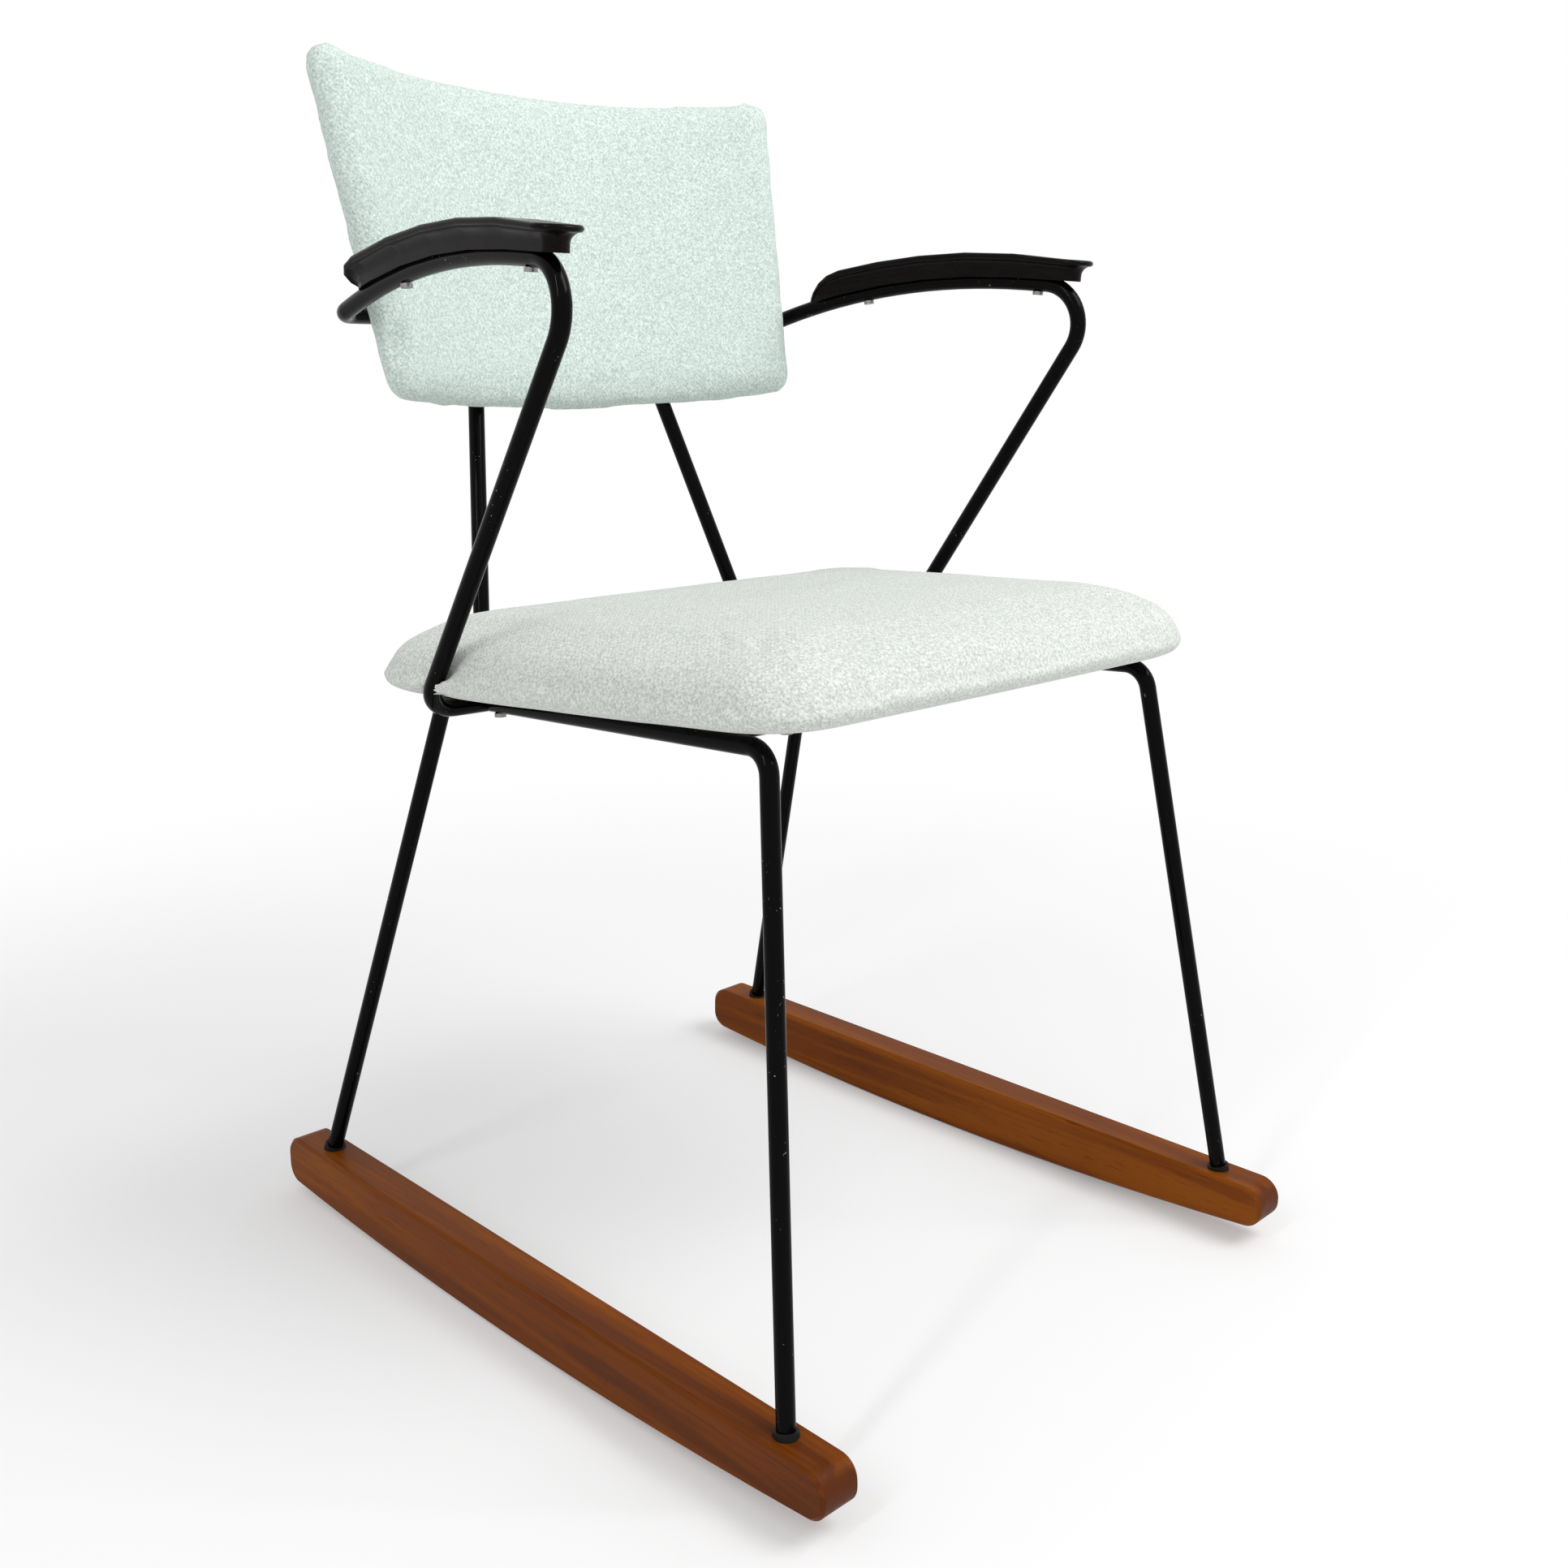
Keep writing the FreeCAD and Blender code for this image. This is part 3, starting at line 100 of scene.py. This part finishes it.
def new_finish(name, **shader_values):
    """A material with its Principled shader's plain values set."""
    material = bpy.data.materials.new(name)
    material.use_nodes = True
    tree = material.node_tree
    shader = tree.nodes["Principled BSDF"]
    for label, value in shader_values.items():
        shader.inputs[label.replace("_", " ")].default_value = value
    spots = tree.nodes.new("ShaderNodeTexCoord").outputs
    return material, tree, shader, spots


def feed(tree, shader, colour, roughness, height, strength, distance):
    """Links a finish's colour, roughness and bump to its shader."""
    tree.links.new(colour, shader.inputs["Base Color"])
    tree.links.new(roughness, shader.inputs["Roughness"])
    bump = put(tree, "ShaderNodeBump", {
        "Strength": strength, "Distance": distance, "Height": height})
    tree.links.new(bump.outputs[0], shader.inputs["Normal"])


def dress(material, *names):
    """Gives CAD nodes their finish."""
    for name in names:
        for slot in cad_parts[name].material_slots:
            slot.material = material


rocker_wood, tree, shader, spots = new_finish(
    "oiled_rocker_wood", Specular_IOR_Level=0.08)
streaks = grain(tree, spots["Object"], 1.0, 6.0, 0.62, 0.5, GRAIN_STRETCH)
figure = grain(tree, spots["Object"], 1.0, 3.0, 0.5, 0.8, FIGURE_STRETCH)
pores = grain(tree, spots["Object"], 1.0, 1.0, 0.5, 0.0, PORE_STRETCH)
tone = ramp(tree, calc(tree, "ADD", calc(tree, "MULTIPLY", streaks, 0.55),
                       calc(tree, "MULTIPLY", figure, 0.45)), 0.34, 0.66)
dark_half = blend_colour(tree, ramp(tree, tone, 0.0, 0.5), WOOD_DARK, WOOD_MID)
wood_tone = blend_colour(tree, ramp(tree, tone, 0.5, 1.0), dark_half, WOOD_LIGHT)
pore_mask = ramp(tree, pores, 0.62, 0.74, 0.0, 0.6)
wood_tone = blend_colour(tree, pore_mask, wood_tone, WOOD_DARK)
ends = calc(tree, "ABSOLUTE", put(
    tree, "ShaderNodeSeparateXYZ", {0: spots["Normal"]}).outputs["Y"])
wood_tone = blend_colour(tree, ramp(tree, ends, 0.55, 0.9), wood_tone, WOOD_END)
feed(tree, shader, wood_tone, ramp(tree, streaks, 0.3, 0.7, 0.36, 0.52),
     calc(tree, "SUBTRACT", streaks, pore_mask), 0.25, 0.0004)
dress(rocker_wood, "rocker_right", "rocker_left")

# Leg bushes: four black rubber collars pressed into the rockers round the
# bar ends. They stand a few millimetres proud and have a moulded satin skin.
bush_rubber, tree, shader, spots = new_finish("bush_rubber", Specular_IOR_Level=0.08)
skin = grain(tree, spots["Object"], 900.0, 3.0)
feed(tree, shader, blend_colour(tree, skin, (0.006, 0.006, 0.006, 1), (0.022, 0.021, 0.02, 1)),
     ramp(tree, skin, 0.3, 0.7, 0.42, 0.6), skin, 0.2, 0.0003)
dress(bush_rubber, "leg_bushes")

# Bars: round steel bar, bent cold and brush-lacquered in gloss black. Years
# of knocks have chipped specks out of the lacquer and dulled it in places.
LACQUER = (0.0015, 0.0010, 0.0012, 1)
BARE_METAL = (0.30, 0.28, 0.25, 1)
CHIP_SCALE = 420.0


def new_group(name, takes, gives):
    """An empty node group with named sockets."""
    group = bpy.data.node_groups.new(name, "ShaderNodeTree")
    for label, kind, value in takes:
        socket = group.interface.new_socket(label, in_out="INPUT", socket_type=kind)
        if value is not None:
            socket.default_value = value
    for label, kind in gives:
        group.interface.new_socket(label, in_out="OUTPUT", socket_type=kind)
    inside = group.nodes.new("NodeGroupInput")
    outside = group.nodes.new("NodeGroupOutput")
    return group, inside.outputs, outside.inputs


def place_group(tree, group, inputs):
    """A node group placed in a material."""
    node = tree.nodes.new("ShaderNodeGroup")
    node.node_tree = group
    for key, value in inputs.items():
        if isinstance(value, bpy.types.NodeSocket):
            tree.links.new(value, node.inputs[key])
        else:
            node.inputs[key].default_value = value
    return node.outputs


chip_group, takes, gives = new_group(
    "lacquer_chips",
    [("Vector", "NodeSocketVector", None), ("Chip Scale", "NodeSocketFloat", CHIP_SCALE)],
    [("Chips", "NodeSocketFloat"), ("Orange Peel", "NodeSocketFloat"),
     ("Dulling", "NodeSocketFloat")])
specks = grain(chip_group, takes["Vector"], takes["Chip Scale"], 2.0, 0.6)
where = grain(chip_group, takes["Vector"], 26.0, 3.0, 0.6)
chips = calc(chip_group, "MULTIPLY", ramp(chip_group, specks, 0.70, 0.73),
             ramp(chip_group, where, 0.52, 0.62))
chip_group.links.new(chips, gives["Chips"])
chip_group.links.new(grain(chip_group, takes["Vector"], 260.0, 2.0), gives["Orange Peel"])
chip_group.links.new(grain(chip_group, takes["Vector"], 34.0, 4.0, 0.65), gives["Dulling"])

lacquer, tree, shader, spots = new_finish("gloss_black_lacquer", Specular_IOR_Level=0.06)
worn = place_group(tree, chip_group, {"Vector": spots["Object"], "Chip Scale": CHIP_SCALE})
feed(tree, shader,
     blend_colour(tree, worn["Chips"], LACQUER, BARE_METAL),
     calc(tree, "ADD", ramp(tree, worn["Dulling"], 0.35, 0.75, 0.10, 0.24),
          calc(tree, "MULTIPLY", worn["Chips"], 0.4)),
     calc(tree, "SUBTRACT", calc(tree, "MULTIPLY", worn["Orange Peel"], 0.35), worn["Chips"]),
     0.2, 0.0004)
dress(lacquer, "front_leg_rail_right", "front_leg_rail_left", "rear_leg_right", "rear_leg_left",
      "front_cross_bar", "rear_cross_bar", "arm_bar_right", "arm_bar_left", "back_bow",
      "back_upright_right", "back_upright_left")

# Boards: birch plywood under the seat pad and bent plywood in the back panel.
# The face veneer is left raw, with pale grain across the chair.
plywood, tree, shader, spots = new_finish("raw_birch_ply", Specular_IOR_Level=0.25)
veneer = grain(tree, spots["Object"], 1.0, 5.0, 0.6, 0.4, (4.0, 70.0, 70.0))
feed(tree, shader,
     blend_colour(tree, veneer, (0.42, 0.27, 0.13, 1), (0.66, 0.48, 0.28, 1)),
     ramp(tree, veneer, 0.3, 0.7, 0.6, 0.78), veneer, 0.2, 0.0004)
dress(plywood, "seat_board", "back_board")

# Base cloth: thin black cloth tacked under the seat pad to close it.
base_cloth, tree, shader, spots = new_finish("black_base_cloth", Sheen_Weight=0.1)
fibres = grain(tree, spots["Object"], 1400.0, 2.0)
feed(tree, shader, blend_colour(tree, fibres, (0.006, 0.006, 0.006, 1), (0.03, 0.03, 0.03, 1)),
     ramp(tree, fibres, 0.3, 0.7, 0.8, 0.95), fibres, 0.4, 0.0004)
dress(base_cloth, "seat_base_cloth")

# Screws: steel wood screws that hold the boards and the armrests. Their heads
# are plain steel gone dull, with a little dirt.
dull_steel, tree, shader, spots = new_finish("dull_steel", Metallic=1.0)
dirt = grain(tree, spots["Object"], 600.0, 4.0, 0.65)
feed(tree, shader, blend_colour(tree, dirt, (0.16, 0.15, 0.14, 1), (0.42, 0.41, 0.39, 1)),
     ramp(tree, dirt, 0.3, 0.7, 0.3, 0.5), dirt, 0.15, 0.0002)
dress(dull_steel, "seat_screws", "back_screws", "armrest_screws")

# Seat pad: foam on a plywood board, covered in pale flecked wool that is
# pulled down over the edge and tacked underneath. It is fixed from below with
# screws through the cross bars. The arm bars press into its sides.
THREAD_PITCH = 1.7 * MM
THREAD_TURNS = math.pi / THREAD_PITCH
THREAD_WANDER = 2.4 * MM
wool_group, takes, gives = new_group(
    "flecked_wool",
    [("Vector", "NodeSocketVector", None), ("Normal", "NodeSocketVector", None),
     ("Thread Turns", "NodeSocketFloat", THREAD_TURNS)],
    [("Weave", "NodeSocketFloat"), ("Fleck", "NodeSocketFloat"),
     ("Dark Hair", "NodeSocketFloat"), ("Mottle", "NodeSocketFloat")])
wander = put(wool_group, "ShaderNodeTexNoise", {
    "Vector": takes["Vector"], "Scale": 260.0, "Detail": 2.0}).outputs["Color"]
wander = put(wool_group, "ShaderNodeVectorMath", {0: wander, 1: (0.5, 0.5, 0.5)},
             operation="SUBTRACT").outputs[0]
wander = put(wool_group, "ShaderNodeVectorMath", {0: wander, "Scale": THREAD_WANDER},
             operation="SCALE").outputs[0]
threads = put(wool_group, "ShaderNodeVectorMath", {0: takes["Vector"], 1: wander},
              operation="ADD").outputs[0]
threads = put(wool_group, "ShaderNodeVectorMath", {0: threads, "Scale": takes["Thread Turns"]},
              operation="SCALE").outputs[0]
threads = put(wool_group, "ShaderNodeVectorMath", {0: threads}, operation="SINE").outputs[0]
part = put(wool_group, "ShaderNodeSeparateXYZ", {0: threads}).outputs
warp = put(wool_group, "ShaderNodeCombineXYZ", {0: part[1], 1: part[0], 2: part[0]}).outputs[0]
weft = put(wool_group, "ShaderNodeCombineXYZ", {0: part[2], 1: part[2], 2: part[1]}).outputs[0]
crossings = put(wool_group, "ShaderNodeVectorMath", {0: warp, 1: weft},
                operation="MULTIPLY").outputs[0]
facing = put(wool_group, "ShaderNodeVectorMath", {0: takes["Normal"], 1: takes["Normal"]},
             operation="MULTIPLY").outputs[0]
weave = put(wool_group, "ShaderNodeVectorMath", {0: crossings, 1: facing},
            operation="DOT_PRODUCT").outputs["Value"]
wool_group.links.new(ramp(wool_group, weave, -0.8, 0.8), gives["Weave"])
wool_group.links.new(ramp(wool_group, grain(wool_group, takes["Vector"], 520.0, 3.0, 0.75),
                          0.32, 0.68), gives["Fleck"])
wool_group.links.new(ramp(wool_group, grain(wool_group, takes["Vector"], 760.0, 1.0, 0.5),
                          0.64, 0.74), gives["Dark Hair"])
wool_group.links.new(grain(wool_group, takes["Vector"], 13.0, 4.0, 0.6), gives["Mottle"])


def wool(name, pale, shade, hair):
    """Woven wool: pale threads, darker threads and a few dark hairs."""
    material, tree, shader, spots = new_finish(
        name, Sheen_Weight=0.12, Sheen_Roughness=0.5, Specular_IOR_Level=0.2)
    cloth = place_group(tree, wool_group, {
        "Vector": spots["Object"], "Normal": spots["Normal"],
        "Thread Turns": THREAD_TURNS})
    colour = blend_colour(tree, cloth["Fleck"], shade, pale)
    # Painted shade: the low spots of the weave, between the crossing threads, are mixed a little
    # towards the darker thread colour.
    shaded_weave_dip = ramp(tree, cloth["Weave"], 0.0, 1.0, 0.16, 0.0)
    colour = blend_colour(tree, shaded_weave_dip, colour, shade)
    colour = blend_colour(tree, calc(tree, "MULTIPLY", cloth["Dark Hair"], 0.45), colour, hair)
    colour = blend_colour(tree, ramp(tree, cloth["Mottle"], 0.3, 0.7, 0.10, 0.0), colour, shade)
    height = calc(tree, "ADD", calc(tree, "MULTIPLY", cloth["Weave"], 0.6),
                  calc(tree, "MULTIPLY", cloth["Fleck"], 0.5))
    feed(tree, shader, colour, ramp(tree, cloth["Fleck"], 0.0, 1.0, 0.88, 0.98),
         height, 0.5, 0.0007)
    return material


def joined_copy(name, *nodes):
    """One merged mesh of several CAD nodes, as a new object."""
    shape = bmesh.new()
    for node in nodes:
        shape.from_mesh(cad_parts[node].data)
    bmesh.ops.remove_doubles(shape, verts=shape.verts, dist=0.01 * MM)
    mesh = bpy.data.meshes.new(name)
    shape.to_mesh(mesh)
    shape.free()
    piece = bpy.data.objects.new(name, mesh)
    bpy.context.scene.collection.objects.link(piece)
    return piece


def settle_modifiers(piece):
    """Puts a piece's modifiers into its mesh."""
    held = piece.evaluated_get(bpy.context.evaluated_depsgraph_get())
    mesh = bpy.data.meshes.new_from_object(held)
    piece.modifiers.clear()
    old = piece.data
    piece.data = mesh
    bpy.data.meshes.remove(old)


def remeshed(piece, voxel, rounds):
    """An even skin over the piece, smoothed a few rounds."""
    skin = piece.modifiers.new("skin", "REMESH")
    skin.mode = "VOXEL"
    skin.voxel_size = voxel
    settle_modifiers(piece)
    shape = bmesh.new()
    shape.from_mesh(piece.data)
    for _ in range(rounds):
        bmesh.ops.smooth_vert(shape, verts=shape.verts, factor=0.5,
                              use_axis_x=True, use_axis_y=True, use_axis_z=True)
    shape.to_mesh(piece.data)
    shape.free()


def outward_of(piece):
    """The way out of the piece at each of its points."""
    return [v.normal.copy() for v in piece.data.vertices]


PRESSURE = 4.0
SIMULATED_FRAMES = 16


def puff(piece, free, shrink, cap):
    """Blows the cover up from inside with Cloth. free has a share for each
    point, 0 where the cloth is tacked down and 1 where it is free."""
    mesh = piece.data
    normals = outward_of(piece)
    for vertex, share, normal in zip(mesh.vertices, free, normals):
        vertex.co -= normal * (shrink * share)
    start = [v.co.copy() for v in mesh.vertices]
    tacked = piece.vertex_groups.new(name="tacked")
    for index, share in enumerate(free):
        tacked.add([index], 1.0 - share, "REPLACE")
    cloth = piece.modifiers.new("cover", "CLOTH")
    cloth.settings.use_pressure = True
    cloth.settings.uniform_pressure_force = PRESSURE
    cloth.settings.effector_weights.gravity = 0
    cloth.settings.vertex_group_mass = "tacked"
    cloth.point_cache.frame_end = SIMULATED_FRAMES
    scene = bpy.context.scene
    for count in range(1, SIMULATED_FRAMES + 1):
        scene.frame_set(count)
    blown = piece.evaluated_get(bpy.context.evaluated_depsgraph_get())
    ends = [v.co.copy() for v in blown.data.vertices]
    piece.modifiers.clear()
    scene.frame_set(1)
    for vertex, old, new in zip(piece.data.vertices, start, ends):
        move = new - old
        if move.length > cap:
            move *= cap / move.length
        vertex.co = old + move


def subdivided(piece):
    """Splits the skin once for the fine forms."""
    split = piece.modifiers.new("split", "SUBSURF")
    split.levels = 1
    split.render_levels = 1
    settle_modifiers(piece)


def ripple_at(spot, waves, offset=0.0):
    """A slow unevenness of hand-made padding, between -1 and 1."""
    return noise.noise(Vector((spot.x * waves, spot.y * waves, spot.z * waves + offset)))


def covered(piece, cloth):
    """Smooth faces in one cloth."""
    for face in piece.data.polygons:
        face.use_smooth = True
    piece.data.materials.clear()
    piece.data.materials.append(cloth)


SEAT_LEAN = math.radians(3.39)
SEAT_HEIGHT = 435.87 * MM
SKIN_VOXEL = 6.0 * MM
SKIN_ROUNDS = 2
HEM_TOP = 9.0 * MM
HEM_FADE = 12.0 * MM
HEM_LINE = 4.2 * MM
HEM_SPREAD = 1.6 * MM
HEM_DEPTH = 1.0 * MM
SEAT_SHRINK = 2.2 * MM
SEAT_SWELL = 3.4 * MM
SEAT_RIPPLE = 0.7 * MM
RIPPLE_FADE = 20.0 * MM
ARM_FOOT = Vector((239.7, 91.0, 425.5)) * MM
ARM_FRONT = Vector((248.8, -99.6, 708.5)) * MM
BAR_RADIUS = 6.0 * MM
BAR_CLEARANCE = 1.2 * MM
DENT_REACH = 34.0 * MM
DENT_DEPTH = 2.0 * MM
seat_frame = Matrix.Translation((0, 0, SEAT_HEIGHT)) @ Matrix.Rotation(-SEAT_LEAN, 4, "X")
to_seat = seat_frame.inverted()


def above_hem(point, fade):
    """0 up to the top of the hem, and 1 from a fade above it."""
    return min(1.0, max(0.0, (point.z - HEM_TOP) / fade))


seat_pad = joined_copy("seat_pad", "seat_cover", "seat_foam", "seat_board")
remeshed(seat_pad, SKIN_VOXEL, SKIN_ROUNDS)
puff(seat_pad, [above_hem(to_seat @ v.co, HEM_FADE) for v in seat_pad.data.vertices],
     SEAT_SHRINK, SEAT_SWELL)
subdivided(seat_pad)
for vertex, outward in zip(seat_pad.data.vertices, outward_of(seat_pad)):
    spot = to_seat @ vertex.co
    vertex.co += outward * (SEAT_RIPPLE * ripple_at(spot, 9) * above_hem(spot, RIPPLE_FADE))
    if abs(outward.z) < 0.8:
        vertex.co -= outward * (HEM_DEPTH * math.exp(-((spot.z - HEM_LINE) / HEM_SPREAD) ** 2))
    side = 1 if spot.x > 0 else -1
    mirror = Vector((side, 1, 1))
    bar_point = intersect_point_line(vertex.co, ARM_FOOT * mirror, ARM_FRONT * mirror)[0]
    gap = vertex.co - bar_point
    reach = gap.length
    if reach < DENT_REACH:
        vertex.co.x -= side * DENT_DEPTH * (1 - reach / DENT_REACH) ** 2
    if 0 < reach < BAR_RADIUS + BAR_CLEARANCE:
        vertex.co += gap * ((BAR_RADIUS + BAR_CLEARANCE) / reach - 1)
seat_wool = wool("grey_flecked_wool", (0.84, 0.87, 0.83, 1), (0.49, 0.52, 0.49, 1),
                 (0.22, 0.25, 0.24, 1))
covered(seat_pad, seat_wool)
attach(seat_pad, "root")
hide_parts("seat_cover", "seat_foam")

# Back panel: bent plywood with foam on its front, covered all round in the
# mint wool. The rear cloth is turned in and sewn along the rear edge.
BACK_LEAN = math.radians(15.72)
BACK_PLACE = Vector((0, 213.7, 612.0)) * MM
BACK_SHRINK = 1.6 * MM
BACK_SWELL = 2.6 * MM
BACK_RIPPLE = 0.6 * MM
back_frame = Matrix.Translation(BACK_PLACE) @ Matrix.Rotation(-BACK_LEAN, 4, "X")
to_back = back_frame.inverted()
rear_normal = back_frame.to_3x3() @ Vector((0, 1, 0))

back_pad = joined_copy("back_pad", "back_cover", "back_foam", "back_board")
remeshed(back_pad, SKIN_VOXEL, SKIN_ROUNDS)
puff(back_pad, [0.0 if v.normal.dot(rear_normal) > 0.6 else 1.0 for v in back_pad.data.vertices],
     BACK_SHRINK, BACK_SWELL)
subdivided(back_pad)
for vertex, outward in zip(back_pad.data.vertices, outward_of(back_pad)):
    if outward.dot(rear_normal) < 0.5:
        vertex.co += outward * (BACK_RIPPLE * ripple_at(to_back @ vertex.co, 10, 7))
back_wool = wool("mint_flecked_wool", (0.81, 0.92, 0.87, 1), (0.45, 0.54, 0.50, 1),
                 (0.20, 0.25, 0.23, 1))
covered(back_pad, back_wool)
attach(back_pad, "root")
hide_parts("back_cover", "back_foam")

# Armrests: black plastic mouldings screwed on from below. Their flanks are
# hollowed under a rounded rim, and hands have polished the tops.
moulding, tree, shader, spots = new_finish("polished_black_moulding", Specular_IOR_Level=0.07)
rubs = grain(tree, spots["Object"], 1.0, 5.0, 0.65, 0.3, (220.0, 14.0, 220.0))
haze = grain(tree, spots["Object"], 40.0, 4.0, 0.6)
feed(tree, shader,
     blend_colour(tree, ramp(tree, rubs, 0.35, 0.75), (0.0030, 0.0016, 0.0016, 1),
                  (0.0075, 0.0045, 0.0045, 1)),
     ramp(tree, calc(tree, "ADD", calc(tree, "MULTIPLY", haze, 0.6),
                     calc(tree, "MULTIPLY", rubs, 0.4)), 0.35, 0.7, 0.20, 0.40),
     rubs, 0.12, 0.0003)
dress(moulding, "armrest_right", "armrest_left")

# Floor: a plain pale studio floor that goes over into a white surround.
FLOOR_REACH = 9.0
SHADOW_REACH = 0.55
WHITE_REACH = 1.5


def seen_rays(tree):
    """1 for the rays that show a surface, and 0 for those that light it."""
    rays = tree.nodes.new("ShaderNodeLightPath").outputs
    seen = calc(tree, "MAXIMUM", rays["Is Camera Ray"], rays["Is Glossy Ray"])
    return calc(tree, "MAXIMUM", seen, rays["Is Transmission Ray"])


shape = bmesh.new()
bmesh.ops.create_grid(shape, x_segments=2, y_segments=2, size=FLOOR_REACH)
floor_mesh = bpy.data.meshes.new("floor")
shape.to_mesh(floor_mesh)
shape.free()
floor = bpy.data.objects.new("floor", floor_mesh)
bpy.context.scene.collection.objects.link(floor)
pale, tree, shader, spots = new_finish("pale_floor", Roughness=0.9, Specular_IOR_Level=0.0)
shader.inputs["Base Color"].default_value = (0.9, 0.9, 0.9, 1)
spread = put(tree, "ShaderNodeVectorMath", {0: spots["Object"]},
             operation="LENGTH").outputs["Value"]
seen = seen_rays(tree)
white = put(tree, "ShaderNodeEmission", {"Color": (1, 1, 1, 1), "Strength": 1.0})
far = calc(tree, "MULTIPLY", seen, ramp(tree, spread, SHADOW_REACH, WHITE_REACH, 0.25, 1.0))
mixed = put(tree, "ShaderNodeMixShader", {0: far, 1: shader.outputs[0], 2: white.outputs[0]})
tree.links.new(mixed.outputs[0], tree.nodes["Material Output"].inputs["Surface"])
floor.data.materials.append(pale)

# Light: a white room that lights evenly from all sides, one large soft lamp
# from the sitter's front left and a narrow one that draws lines on the bars.
AMBIENT = 0.66
world = bpy.data.worlds.new("white_room")
world.use_nodes = True
bpy.context.scene.world = world
tree = world.node_tree
seen = seen_rays(tree)
sky = tree.nodes["Background"]
sky.inputs["Color"].default_value = (1, 1, 1, 1)
tree.links.new(ramp(tree, seen, 0.0, 1.0, AMBIENT, 1.0), sky.inputs["Strength"])


def soft_lamp(name, place, aim, size, size_y, power):
    """A rectangular lamp that looks at a point."""
    lamp = bpy.data.lights.new(name, "AREA")
    lamp.shape = "RECTANGLE"
    lamp.size = size
    lamp.size_y = size_y
    lamp.energy = power
    thing = bpy.data.objects.new(name, lamp)
    thing.location = place
    thing.rotation_euler = (Vector(aim) - Vector(place)).to_track_quat("-Z", "Y").to_euler()
    bpy.context.scene.collection.objects.link(thing)


soft_lamp("key_lamp", (0.9, -1.7, 2.7), (0, 0, 0.4), 1.5, 1.5, 52)
soft_lamp("line_lamp", (-2.3, -0.5, 2.3), (0, 0, 0.4), 0.08, 1.4, 14)

# Camera: where the photograph was taken from, with its lens and its turn.
CAMERA_PLACE = Vector((-861.5, -858.9, 665.9)) * MM
CAMERA_YAW = math.radians(-45.438)
CAMERA_PITCH = math.radians(14.527)
CAMERA_ROLL = math.radians(0.614)
FOCAL_PIXELS = 2095.18
FRAME_PIXELS = 1932
backward = Vector((math.sin(CAMERA_YAW) * math.cos(CAMERA_PITCH),
                   -math.cos(CAMERA_YAW) * math.cos(CAMERA_PITCH), math.sin(CAMERA_PITCH)))
level_right = (-backward).cross(Vector((0, 0, 1))).normalized()
level_up = level_right.cross(-backward)
right = level_right * math.cos(CAMERA_ROLL) + level_up * math.sin(CAMERA_ROLL)
up = level_up * math.cos(CAMERA_ROLL) - level_right * math.sin(CAMERA_ROLL)
camera_data = bpy.data.cameras.new("camera")
camera_data.sensor_fit = "HORIZONTAL"
camera_data.sensor_width = 36.0
camera_data.lens = FOCAL_PIXELS / FRAME_PIXELS * camera_data.sensor_width
camera = bpy.data.objects.new("camera", camera_data)
turn = Matrix((right, up, backward)).transposed().to_4x4()
camera.matrix_world = Matrix.Translation(CAMERA_PLACE) @ turn
bpy.context.scene.collection.objects.link(camera)
bpy.context.scene.camera = camera
bpy.context.scene.view_settings.view_transform = "Standard"
